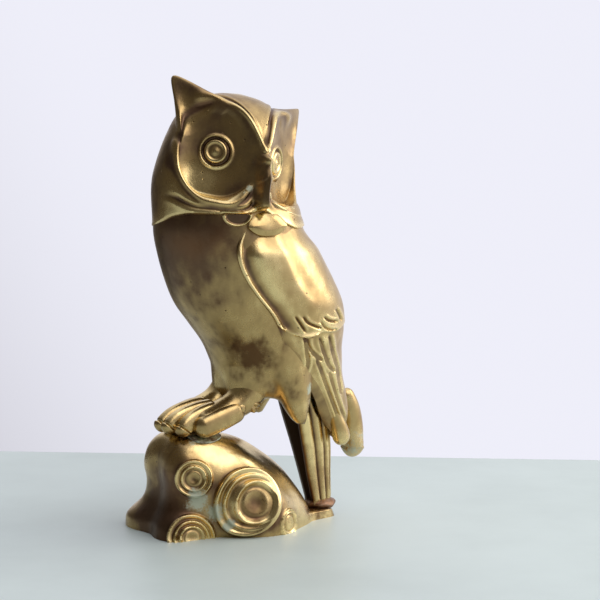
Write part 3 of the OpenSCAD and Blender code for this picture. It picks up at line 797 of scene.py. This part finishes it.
class Finish:
    """A procedural material on a metal: its nodes, and the values that its parts share."""

    def __init__(self, name):
        self.material = bpy.data.materials.new(name)
        self.material.use_nodes = True
        self.tree = self.material.node_tree
        self.shader = self.tree.nodes["Principled BSDF"]
        self.place = self.add("ShaderNodeTexCoord").outputs["Object"]

    def add(self, kind, settings=None, inputs=None):
        """A node of a kind: its settings are set first, then the values or links of its sockets."""
        node = self.tree.nodes.new(kind)
        for key, value in (settings or {}).items():
            setattr(node, key, value)
        for key, value in (inputs or {}).items():
            if isinstance(value, Value):
                value = value.socket
            if isinstance(value, bpy.types.NodeSocket):
                self.tree.links.new(value, node.inputs[key])
            else:
                node.inputs[key].default_value = value
        return node

    def noise(self, scale, detail, roughness):
        """Cloudy variation about 0.5, with that many lumps to a metre."""
        inputs = {"Vector": self.place, "Scale": scale, "Detail": detail, "Roughness": roughness}
        return Value(self, self.add("ShaderNodeTexNoise", None, inputs).outputs[0])

    def pits(self, scale, size):
        """1 inside small round pits scattered that many to a metre, and 0 between them."""
        node = self.add("ShaderNodeTexVoronoi", None, {"Vector": self.place, "Scale": scale})
        return 1 - Value(self, node.outputs["Distance"]).above(size * 0.6, size)

    def stored(self, title):
        """A value stored on the piece's own points."""
        node = self.add("ShaderNodeAttribute", {"attribute_name": title})
        return Value(self, node.outputs["Fac"])

    def near(self, middle, radius):
        """1 at a place of the sculpture and 0 beyond a radius from it, both in millimetres."""
        spot = tuple(ORIGIN + np.array(middle) * MM)
        node = self.add("ShaderNodeVectorMath", {"operation": "DISTANCE"}, {0: self.place, 1: spot})
        return 1 - Value(self, node.outputs["Value"]).above(0, radius * MM)

    def mixed(self, share, first, second):
        """A colour that goes from the first to the second as the share goes from 0 to 1."""
        node = self.add("ShaderNodeMix", {"data_type": "RGBA"}, {"Factor": share})
        for socket, colour in ((node.inputs[6], first), (node.inputs[7], second)):
            if isinstance(colour, bpy.types.NodeSocket):
                self.tree.links.new(colour, socket)
            else:
                socket.default_value = (*colour[:3], 1)
        return node.outputs[2]

    def wire(self, title, value):
        """Feeds a socket of the surface's shader."""
        value = value.socket if isinstance(value, Value) else value
        self.tree.links.new(value, self.shader.inputs[title])

    def relief(self, height, depth):
        """Bumps the surface by a height that is 0 to 1 over a depth in millimetres."""
        node = self.add("ShaderNodeBump", None, {"Height": height, "Distance": depth * MM, "Strength": 1.0})
        self.wire("Normal", node.outputs[0])


def brass(name, older, stain=None, gloss=0.0, painted_light_patches=()):
    """Aged cast brass: bright on its crests, olive on its faces, brown patina and pale salts in its hollows.

    Its age is the owl's tarnish, plus how much older this casting looks, plus clouds and blotches, less 0.6 of
    its wear. A stain is a place and a radius in millimetres. Each of the painted light patches is those two and
    how much darker it is painted there: painted shade above 0, a painted highlight on a lit face below 0. Past an
    age of 1.9 the brass is painted near black, as deep shade.
    """
    finish, colours, tarnish = Finish(name), bpy.context.scene.owl_colours, shape().tarnish + older
    wear, residue = finish.stored("wear"), finish.stored("residue")
    clouds, blotches = finish.noise(38, 5, 0.6), finish.noise(150, 4, 0.6)
    grain, pits = finish.noise(900, 3, 0.6), finish.pits(150, 0.07)
    age_and_painted_light = tarnish + (clouds - 0.5) * 0.9 + (blotches - 0.5) * 0.5 - wear * 0.6
    # Painted light patches: painted shade where the amount is above 0, a painted highlight where it is below 0
    for place, radius, amount in painted_light_patches:
        age_and_painted_light = age_and_painted_light + finish.near(place, radius) * amount
    metal = finish.mixed(age_and_painted_light.above(0.0, 0.55), colours.bright, colours.mellow)
    metal = finish.mixed(age_and_painted_light.above(0.45, 1.05), metal, colours.patina)
    metal = finish.mixed(age_and_painted_light.above(1.1, 1.7), metal, tuple(0.45 * c for c in colours.patina))
    warm = finish.noise(24, 3, 0.5).above(0.52, 0.72) * 0.35
    if stain:
        patch = finish.near(*stain) + (blotches - 0.5) * 1.5 + (clouds - 0.5) * 1.6
        metal = finish.mixed(patch.above(0.1, 0.9) * 0.9, metal, tuple(0.4 * c for c in colours.copper))
    metal = finish.mixed(warm, metal, colours.copper)
    metal = finish.mixed(pits * 0.85, metal, tuple(0.35 * c for c in colours.patina))
    # Painted deep shade: where the age runs highest, as inside the tail, the colour goes near black and less
    # metallic
    painted_deep_shade = age_and_painted_light.above(1.9, 2.6)
    metal = finish.mixed(painted_deep_shade, metal, tuple(0.5 * c for c in colours.patina))
    salts = (residue + (blotches - 0.5) * 1.2 + (grain - 0.5) * 0.8).above(0.35, 0.8)
    finish.wire("Base Color", finish.mixed(salts, metal, colours.salts))
    finish.wire("Metallic", 1 - (salts + painted_deep_shade).maths("MINIMUM", 1.0) * 0.9)
    rough = 0.25 - gloss + age_and_painted_light.above(0.2, 1.1) * 0.14 + (grain - 0.5) * 0.12
    rough = rough + (blotches - 0.5) * 0.12 + salts * 0.35
    finish.wire("Roughness", rough.maths("MAXIMUM", 0.12))
    finish.relief(clouds * 0.3 + blotches * 0.14 + grain * 0.035 + salts * 0.1 - pits * 0.35, 0.7)
    return finish.material


def braze(name, colours, crust=None):
    """Coppery brazing metal left as it flowed, dull, mottled and lumpy, or crusted over with salts."""
    finish = Finish(name)
    lumps, grain = finish.noise(260, 4, 0.6), finish.noise(1400, 3, 0.6)
    first, second = (colours.patina, crust) if crust else (colours.copper, colours.braze)
    metal = finish.mixed(lumps.above(0.35, 0.65), first, second)
    finish.wire("Base Color", finish.mixed(grain.above(0.6, 0.8) * 0.5, metal, colours.salts))
    finish.shader.inputs["Metallic"].default_value = 0.9
    finish.wire("Roughness", 0.42 + (grain - 0.5) * 0.3)
    finish.relief(lumps + grain * 0.2, 0.8)
    return finish.material


def bare_casting(name, colours):
    """The unpolished brass of a hidden sleeve: dark and sandy."""
    finish = Finish(name)
    clouds, sand = finish.noise(60, 4, 0.6), finish.noise(1600, 3, 0.7)
    metal = finish.mixed(clouds.above(0.35, 0.7), colours.patina, colours.mellow)
    finish.wire("Base Color", metal)
    finish.shader.inputs["Metallic"].default_value = 1.0
    finish.wire("Roughness", 0.5 + (sand - 0.5) * 0.3)
    finish.relief(sand, 0.3)
    return finish.material


# ---- Sizes and colours that a user may change -----------------------------------------------


def tint(name, description, default):
    """A colour setting."""
    return bpy.props.FloatVectorProperty(name=name, description=description, default=default, subtype="COLOR",
                                         size=3, min=0, max=1)


class OwlColours(bpy.types.PropertyGroup):
    """Colours of the metals."""

    bright: tint("Bright brass", "Brass where handling has rubbed it", (0.86, 0.67, 0.32))
    mellow: tint("Mellow brass", "Brass with a thin olive tarnish", (0.50, 0.35, 0.15))
    patina: tint("Patina", "Brown patina in hollows and on shaded faces", (0.165, 0.10, 0.06))
    copper: tint("Copper blush", "Coppery red where the brass has lost its zinc", (0.25, 0.115, 0.05))
    salts: tint("Salts", "Pale green-white salts along joints", (0.50, 0.53, 0.40))
    braze: tint("Brazing metal", "Brazing metal at the tail and the feet", (0.27, 0.17, 0.11))


class OwlShape(bpy.types.PropertyGroup):
    """Strengths of the cast relief."""

    relief: bpy.props.FloatProperty(name="Relief", description="Depth of the cast lines against their usual depth",
                                    default=1.0, min=0.2, max=1.5, subtype="FACTOR")
    tarnish: bpy.props.FloatProperty(name="Tarnish", description="How far the polish has dulled",
                                     default=0.42, min=0.0, max=1.0, subtype="FACTOR")
    wing_wall: bpy.props.FloatProperty(name="Wing wall", description="Thickness of the wings' castings",
                                       default=0.0024, min=0.001, max=0.003, unit="LENGTH")
    mound_wall: bpy.props.FloatProperty(name="Mound wall", description="Thickness of the mound's casting",
                                        default=0.0025, min=0.0015, max=0.004, unit="LENGTH")


class OwlStage(bpy.types.PropertyGroup):
    """Table, backdrop and lights."""

    table: tint("Table", "Colour of the painted table top", (0.60, 0.69, 0.66))
    backdrop: tint("Backdrop", "Colour of the wall behind the table", (0.86, 0.86, 0.95))
    room: tint("Room", "Colour of the dim room in front of the owl", (0.11, 0.10, 0.085))
    window_power: bpy.props.FloatProperty(name="Window", description="Power of the large light on the right",
                                          default=4.2, min=0, max=100, unit="POWER")
    ceiling_power: bpy.props.FloatProperty(name="Ceiling", description="Power of the soft light above the viewer",
                                           default=4.5, min=0, max=100, unit="POWER")
    sky_power: bpy.props.FloatProperty(name="Overhead", description="Power of the soft light above",
                                       default=1.2, min=0, max=100, unit="POWER")


# ---- The pieces -----------------------------------------------------------------------------


def shape():
    """The user's settings of the relief, the tarnish and the walls."""
    return bpy.context.scene.owl_shape


def raised(grid, relief, wrap):
    """A grid moved along its normals by a relief in millimetres."""
    return grid + normals(grid, wrap) * (relief * shape().relief)[..., None]


def turned(grid, side):
    """A left-hand grid, or its mirror image with its columns in the order that keeps it facing outwards."""
    return grid if side == LEFT else (grid * np.array([-1, 1, 1]))[:, ::-1]


class OWL_OT_head(bpy.types.Operator):
    """Builds the head, turned over the left wing: brows, ear tufts, eye discs, beak and ruffs"""

    bl_idname = "owl.head"
    bl_label = "Head"

    def execute(self, context):
        grid, chart, angle = head_grid()
        relief, lip = head_relief(chart, angle)
        grid = grid + normals(grid, True) * lip[..., None]
        skin = raised(grid, relief, True)
        salts = 0.8 * spots(skin, [(32.5, -8, 162, 2.6), (32.5, -11, 160.4, 2.4)])
        wear = hollow_and_edge(relief + lip)
        # Painted highlights: the far side of the face and the near disc's lower part, which face the light, are
        # painted brighter
        look = brass("Head brass", 0.3, painted_light_patches=[((30, 20, 165), 26, -1.2), ((14, -25, 165), 17, -0.85)])
        add_piece("head", [closed_skin(skin, wear, salts)], look, ("face_shell", "crown_shell"))
        return {"FINISHED"}


class OWL_OT_body(bpy.types.Operator):
    """Builds the breast and back with the feathered lobes of the thighs"""

    bl_idname = "owl.body"
    bl_label = "Body"

    def execute(self, context):
        grid = body_grid()
        relief = body_relief(grid)
        skin = raised(grid, relief, True)
        salts = spots(skin, [(26, 30, 66, 4), (24, 32, 60, 4), (22, 32, 54, 4)])
        # Painted shade: the body's upper flank on the camera's left, turned from the light, is painted darker
        look = brass("Body brass", 0.12, stain=((21, 0, 84), 17), painted_light_patches=[((10, -32, 136), 50, 0.5)])
        add_piece("body", [closed_skin(skin, 0.2 * hollow_and_edge(relief), salts)], look,
                  ("breast_shell", "back_shell"))
        return {"FINISHED"}


class OWL_OT_wings(bpy.types.Operator):
    """Builds both folded wings with their beads, coverts, scallops and long feathers"""

    bl_idname = "owl.wings"
    bl_label = "Wings"

    def execute(self, context):
        look = brass("Wing brass", -0.02, gloss=-0.03)
        relief, wall = wing_relief(wing_grid(LEFT)), shape().wing_wall / MM
        wear_left = hollow_and_edge(relief)
        for side, name in ((LEFT, "left_wing"), (RIGHT, "right_wing")):
            grid = wing_grid(side)
            skin = raised(grid, relief, False)
            inner = grid - normals(grid, False) * wall
            wear, salts = wear_left, spots(skin, [(29, 26, 66, 3), (27, 31, 58, 3), (14, 50, 37, 4)])
            fields = (wear, salts) if side == LEFT else (wear[:, ::-1], salts[:, ::-1])
            shell = walled_skin(turned(skin, side), turned(inner, side), *fields)
            tip = tube(WING_TIPS[side])
            drop = closed_skin(tip, ease(tip[..., 2], 44, 36) * 0.6, 0.5 * ease(tip[..., 2], 42, 36))
            add_piece(name + "_feathers", [shell, drop], look, (name,))
        return {"FINISHED"}


class OWL_OT_collar(bpy.types.Operator):
    """Builds the petal of bib feather under the beak and the crescent beside it"""

    bl_idname = "owl.collar"
    bl_label = "Bib feathers"

    def execute(self, context):
        look = brass("Bib brass", -0.1, gloss=0.04)

        def leaf(a):
            """A leaf: half width 10.2, reaching 6.8 up and 4.8 down, its ends drawn to points."""
            tall = np.where(np.sin(a) > 0, 6.8, 4.8) * np.sin(a) * (1 - 0.4 * np.cos(a) ** 4)
            return np.stack([10.2 * np.cos(a), tall], -1)

        def moon(a):
            """A half moon: flat above and round below, half width 7."""
            return np.stack([7 * np.cos(a), np.where(np.sin(a) > 0, 0.8, 5.4) * np.sin(a)], -1)

        lean = np.radians(15)
        ahead, upwards = (np.cos(lean), 0, np.sin(lean)), (-np.sin(lean), 0, np.cos(lean))
        bib = petal((34.4, 0.8, 144.4), ahead, upwards, leaf, 2.0, 4)
        turn = np.radians(-22)
        ahead = (np.cos(turn), np.sin(turn), 0)
        crescent = petal((31.4, -13.4, 149.7), ahead, (0, 0, 1), moon, 0.2, 3, 0.8)
        share = 1 - (between(0, 1, len(crescent))[:, None] - PETAL_BACK) / (1 - PETAL_BACK)
        dark = 1.8 * bump(share - 0.88, 0.1) - 1.1
        add_piece("bib_feathers", [closed_skin(bib), closed_skin(crescent, dark)], look)
        return {"FINISHED"}


# Paths of a left foot: the shank with its instep, three toes from the outside in, and the hind toe.
# Each row is [x, y, z, half width, half height].
SHANK = [[9, 13, 76, 9, 9], [9, 7, 68, 8.6, 8.8], [9, 1.5, 62, 7.8, 7.8], [9, -4, 58.4, 7.2, 6.6],
         [9, -11, 56, 7.4, 5.6], [9, -19, 54, 7, 4.6], [9, -25, 52, 5.6, 3.4]]
TOES = [
    [[12, 0, 57.8, 4.4, 4.8], [12.4, -7, 55.6, 5, 5.4], [12.4, -15, 52.8, 5.1, 5.6], [12, -21, 50.6, 5, 5.4],
     [11.6, -25.5, 49, 4.5, 5]],
    [[8, -10, 58, 3.8, 4.4], [8.2, -18, 56.2, 4, 4.8], [8.4, -25, 53.2, 4.1, 5], [8.6, -29.5, 49.8, 4, 4.6],
     [8.8, -31.4, 46.4, 3.6, 3.6]],
    [[4.4, -10, 58.4, 3.4, 4.4], [4.2, -19, 57, 3.5, 4.8], [3.8, -28, 54.4, 3.5, 4.8], [3.6, -34, 50.8, 3.4, 4.2],
     [3.6, -36.4, 47.6, 3, 3]],
    [[1.4, -14, 56, 2.4, 4], [1, -22, 54.6, 2.4, 4.2], [0.9, -30, 51.6, 2.4, 4], [0.9, -34, 48.6, 2.2, 3]],
]
HIND_TOE = [[11.5, 2.5, 65, 3, 3], [12.6, 4.6, 62, 3.4, 3.6], [12.6, 4.6, 58.6, 3.2, 3.2], [12, 2, 56, 2.4, 2.4]]
ANKLE = [[12.5, -1.5, 61, 2.6, 2.6], [13.8, -2.6, 58, 3, 3], [13, -3.6, 55.4, 2.2, 2.2]]


class OWL_OT_feet(bpy.types.Operator):
    """Builds both legs with their toes and claws, resting on the mound"""

    bl_idname = "owl.feet"
    bl_label = "Feet"

    def execute(self, context):
        look = brass("Foot brass", 0.05)
        for side, name in ((LEFT, "left_leg"), (RIGHT, "right_leg")):
            shells = []
            for path in [SHANK, *TOES, HIND_TOE, ANKLE]:
                grid = tube(path, 0.8 if path in TOES else 1.0)
                if path in TOES[1:]:
                    share = between(0, 1, len(grid))[:, None]
                    nail = 0.5 * ease(share, 0.78, 0.8) - 0.5 - 0.6 * bump(share - 0.78, 0.018)
                    grid = raised(grid, nail * np.ones(grid.shape[:2]), True)
                if path is HIND_TOE:
                    wrinkle = 0.35 * np.sin(between(0, 1, len(grid))[:, None] * 26) * np.ones(grid.shape[:2])
                    grid = raised(grid, wrinkle, True)
                # Painted highlight: faces turned upwards are painted brighter, as if lit from above
                wear = ease(normals(grid, True)[..., 2], 0.2, 0.9) * 0.4
                salts = ease(grid[..., 2], 48, 45) * 0.5 if path in TOES[:2] else None
                fields = [f if f is None or side == LEFT else f[:, ::-1] for f in (wear, salts)]
                shells.append(closed_skin(turned(grid, side), *fields))
            add_piece(name + "_toes", shells, look, (name,))
        return {"FINISHED"}


class OWL_OT_tail(bpy.types.Operator):
    """Builds the long tail: an open channel of ridged feathers, with painted shade darkening its inside"""

    bl_idname = "owl.tail"
    bl_label = "Tail"

    def execute(self, context):
        grid = tail_grid()
        relief = tail_relief(grid)
        skin = raised(grid, relief, False)
        inner = grid - normals(grid, False) * TAIL_WALL
        look = brass("Tail brass", 0)
        salts = spots(skin, [(12, 40, 30, 5), (11, 45, 24, 4)])
        # Painted shade: the inner sheet gets a wear of -4, which paints the channel's inside near black
        shell = walled_skin(skin, inner, hollow_and_edge(relief), salts, -4.0)
        add_piece("tail_feathers", [shell], look, ("tail_fan",))
        return {"FINISHED"}


class OWL_OT_mound(bpy.types.Operator):
    """Builds the hollow rock mound with its rosettes of raised rings"""

    bl_idname = "owl.mound"
    bl_label = "Mound"

    def execute(self, context):
        grid = mound_grid(200, 0.99)
        relief = mound_relief(grid)
        skin = raised(grid, relief, True)
        skin[..., 2] = np.clip(skin[..., 2], 0, None)
        skin[0, :, 2] = 0
        inner = mound_grid(30, 0.96)
        inner = inner - normals(inner, True) * (shape().mound_wall / MM)
        inner[0, :, 2] = 0
        inner[..., 2] = np.clip(inner[..., 2], 0, None)
        salts = spots(skin, [(21, -29, 17.5, 6), (24, -22, 12, 5.5), (15, -27, 46, 4), (13, -20, 49, 4),
                             (28, -17, 6, 4)])
        # Painted shade: the mound's side on the camera's left, turned from the light, is painted darker
        look = brass("Mound brass", -0.2, stain=((0, 46, 3), 20), painted_light_patches=[((2, -52, 14), 40, 1.5)])
        shell = hollow_dome(skin, inner, hollow_and_edge(relief), salts)
        add_piece("rock_mound", [shell], look, ("base_mound",))
        return {"FINISHED"}


# How much larger the brazed lump is than its casting along x, y and z, and how far it is lifted
LUMP_STRETCH, LUMP_LIFT = np.array([1.0, 1.1, 4.2]), np.array([0, 0, 0.6])


class OWL_OT_joints(bpy.types.Operator):
    """Builds the brazed lump at the tail's end and finishes the castings that stay as they are"""

    bl_idname = "owl.joints"
    bl_label = "Brazed joints"

    def execute(self, context):
        colours = context.scene.owl_colours
        a = between(0, 2 * np.pi, 97)[None, :-1]
        t = between(0, 1, 40)[:, None]
        low, high = (np.array(corner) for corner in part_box("tail_braze"))
        middle, half = ((low + high) / 2 - ORIGIN) / MM, (high - low) / 2 / MM
        swell = np.sqrt(np.clip(1 - (2 * t - 1) ** 2, 0.0004, 1))
        lumps = 1 + 0.06 * np.sin(3 * a + 4 * t) + 0.04 * np.sin(7 * a - 5 * t)
        half, middle = half * LUMP_STRETCH, middle + LUMP_LIFT
        grid = np.stack([middle[0] + half[0] * 0.97 * swell * lumps * np.cos(a),
                         middle[1] + half[1] * 0.97 * swell * lumps * np.sin(a),
                         middle[2] + (half[2] * (2 * t - 1)) * np.ones_like(a)], -1)
        metal = braze("Brazing metal", colours)
        add_piece("tail_joint", [closed_skin(grid)], metal, ("tail_braze",))
        crust = braze("Foot joint", colours, colours.salts)
        for node in ("left_foot_braze", "right_foot_braze"):
            finish_node(node, crust)
        finish_node("neck_sleeve", bare_casting("Bare brass", colours))
        return {"FINISHED"}


def finish_node(node, look):
    """Gives a casting of the frame a finish of its own."""
    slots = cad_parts[node].data.materials
    if len(slots):
        slots[0] = look
    else:
        slots.append(look)


# ---- Table, backdrop, lights and camera -----------------------------------------------------

# The camera: degrees round from the owl's front towards its left, degrees up, distance and what it looks at
VIEW_TURN, VIEW_RISE, VIEW_AWAY, VIEW_LOOK = 61, 6, 1000, np.array([0, 0, 112.0])
# Shift of the aim to the camera's right and up, in millimetres, and the lens on its sensor
AIM_RIGHT, AIM_UP, LENS, SENSOR = 32.9, -4.7, 127.62, 36
# Distance from the camera's foot to the table's far edge at its left and right
TABLE_EDGE = [(-240, 1205), (240, 1150)]
# How far the table runs on past those two places, and how deep it is from that edge
TABLE_SIDE, TABLE_DEPTH = 2500, 3500
# The room is brightest this way, as shares of towards the camera, rightwards and up; along that way it goes
# from dim to bright between two values
BRIGHT_WAY, BRIGHT_SPAN = (-0.42, 0.75, 0.5), (-0.05, 0.38)
# The lights face one point of the owl. Each has a distance from it, shares of rightwards, towards the camera
# and up, a size, the setting of its power, and a colour.
LIGHT_MIDDLE = np.array([0, 0, 110.0])
LIGHTS = {
    "Window": (1000, (0.92, -0.2, 0.42), (650, 750), "window_power", (1.0, 0.97, 0.92)),
    "Overhead": (1100, (0.25, -0.15, 0.95), (900, 900), "sky_power", (0.95, 0.97, 1.0)),
    "Ceiling": (1200, (0.45, 0.55, 0.75), (1000, 1000), "ceiling_power", (1.0, 0.95, 0.9)),
}


def view_frame():
    """The camera's place and the directions back to it, rightwards and upwards, in the sculpture's axes."""
    turn, rise = np.radians(VIEW_TURN), np.radians(VIEW_RISE)
    back = np.array([np.sin(turn) * np.cos(rise), -np.cos(turn) * np.cos(rise), np.sin(rise)])
    right = np.array([np.cos(turn), np.sin(turn), 0])
    up = np.cross(right, -back)
    return VIEW_LOOK + VIEW_AWAY * back, back, right, up


def world_point(point):
    """A place of the sculpture, in the frame's metres."""
    return Vector(ORIGIN + np.asarray(point) * MM)


def add_light(name, place, look, size, power, colour):
    """A soft rectangular light at a place, facing another, all in the sculpture's millimetres."""
    lamp = bpy.data.lights.new(name, "AREA")
    lamp.shape, lamp.size, lamp.size_y = "RECTANGLE", size[0] * MM, size[1] * MM
    lamp.energy, lamp.color = power, colour
    holder = bpy.data.objects.new(name, lamp)
    bpy.context.scene.collection.objects.link(holder)
    holder.location = world_point(place)
    holder.rotation_euler = (world_point(look) - holder.location).to_track_quat("-Z", "Y").to_euler()


def flat_sheet(name, corners, height, look):
    """A flat four-sided sheet facing up, at a height."""
    mesh = bpy.data.meshes.new(name)
    mesh.from_pydata([tuple(world_point((x, y, height))) for x, y in corners], [], [(0, 1, 2, 3)])
    mesh.materials.append(look)
    sheet = bpy.data.objects.new(name, mesh)
    bpy.context.scene.collection.objects.link(sheet)


class OWL_OT_stage(bpy.types.Operator):
    """Sets out the table, the backdrop, the lights and the camera"""

    bl_idname = "owl.stage"
    bl_label = "Stage"

    def execute(self, context):
        stage = context.scene.owl_stage
        camera_place, back, right, up = view_frame()
        level = np.array([back[0], back[1], 0]) / np.hypot(back[0], back[1])
        foot = camera_place * np.array([1, 1, 0])

        paint = Finish("Table paint")
        mottle = paint.noise(6, 5, 0.6)
        shade = tuple(0.9 * c for c in stage.table)
        paint.wire("Base Color", paint.mixed(mottle.above(0.35, 0.7), stage.table, shade))
        paint.wire("Roughness", 0.42 + (mottle - 0.5) * 0.2)
        paint.relief(paint.noise(700, 3, 0.6), 0.05)
        edge = [foot + right * x - level * away for x, away in TABLE_EDGE]
        slope = (edge[1] - edge[0]) / np.linalg.norm(edge[1] - edge[0])
        far = [edge[0] - slope * TABLE_SIDE, edge[1] + slope * TABLE_SIDE]
        near = [far[1] + level * TABLE_DEPTH, far[0] + level * TABLE_DEPTH]
        flat_sheet("table", [p[:2] for p in (far[0], near[1], near[0], far[1])], 0, paint.material)

        world = context.scene.world or bpy.data.worlds.new("Room")
        context.scene.world = world
        world.use_nodes = True
        tree = world.node_tree
        toward = tree.nodes.new("ShaderNodeTexCoord").outputs["Generated"]
        dot = tree.nodes.new("ShaderNodeVectorMath")
        dot.operation = "DOT_PRODUCT"
        nearer, sideways, upwards = BRIGHT_WAY
        bright_way = nearer * level + sideways * right + np.array([0, 0, upwards])
        tree.links.new(toward, dot.inputs[0])
        dot.inputs[1].default_value = tuple(bright_way)
        spread = tree.nodes.new("ShaderNodeMapRange")
        spread.interpolation_type = "SMOOTHSTEP"
        spread.inputs["From Min"].default_value, spread.inputs["From Max"].default_value = BRIGHT_SPAN
        tree.links.new(dot.outputs["Value"], spread.inputs["Value"])
        blend = tree.nodes.new("ShaderNodeMix")
        blend.data_type = "RGBA"
        blend.inputs[6].default_value, blend.inputs[7].default_value = (*stage.room, 1), (*stage.backdrop, 1)
        tree.links.new(spread.outputs["Result"], blend.inputs["Factor"])
        tree.links.new(blend.outputs[2], tree.nodes["Background"].inputs["Color"])

        for title, (away, (sideways, nearer, upwards), size, power, colour) in LIGHTS.items():
            place = LIGHT_MIDDLE + away * (sideways * right + nearer * level + np.array([0, 0, upwards]))
            add_light(title, place, LIGHT_MIDDLE, size, getattr(stage, power), colour)

        lens = bpy.data.cameras.new("Camera")
        lens.lens, lens.sensor_width = LENS, SENSOR
        camera = bpy.data.objects.new("Camera", lens)
        context.scene.collection.objects.link(camera)
        aim = VIEW_LOOK + right * AIM_RIGHT + up * AIM_UP
        camera.location = world_point(camera_place)
        camera.rotation_euler = (world_point(aim) - camera.location).to_track_quat("-Z", "Y").to_euler()
        context.scene.camera = camera
        context.scene.view_settings.view_transform = "Standard"
        return {"FINISHED"}


# ---- Panel and running ----------------------------------------------------------------------

OPERATORS = (OWL_OT_mound, OWL_OT_feet, OWL_OT_body, OWL_OT_wings, OWL_OT_tail, OWL_OT_head, OWL_OT_collar,
             OWL_OT_joints, OWL_OT_stage)
GROUPS = {"owl_colours": OwlColours, "owl_shape": OwlShape, "owl_stage": OwlStage}


class OWL_PT_panel(bpy.types.Panel):
    """Lists the owl's settings and the operators that build its pieces"""

    bl_label = "Cast brass owl"
    bl_idname = "OWL_PT_panel"
    bl_space_type = "VIEW_3D"
    bl_region_type = "UI"
    bl_category = "Owl"

    def draw(self, context):
        for title, group in GROUPS.items():
            box = self.layout.box()
            for setting in group.__annotations__:
                box.prop(getattr(context.scene, title), setting)
        for operator in OPERATORS:
            self.layout.operator(operator.bl_idname)


def register():
    """Adds the settings, the operators and the panel to Blender."""
    for group in GROUPS.values():
        bpy.utils.register_class(group)
    for title, group in GROUPS.items():
        setattr(bpy.types.Scene, title, bpy.props.PointerProperty(type=group))
    for item in (*OPERATORS, OWL_PT_panel):
        bpy.utils.register_class(item)


def unregister():
    """Takes them out again, the last first."""
    for item in reversed((*OPERATORS, OWL_PT_panel)):
        bpy.utils.unregister_class(item)
    for title, group in GROUPS.items():
        delattr(bpy.types.Scene, title)
        bpy.utils.unregister_class(group)


def main():
    """Registers the add-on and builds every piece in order."""
    register()
    for operator in OPERATORS:
        family, action = operator.bl_idname.split(".")
        getattr(getattr(bpy.ops, family), action)()


if __name__ == "__main__":
    main()
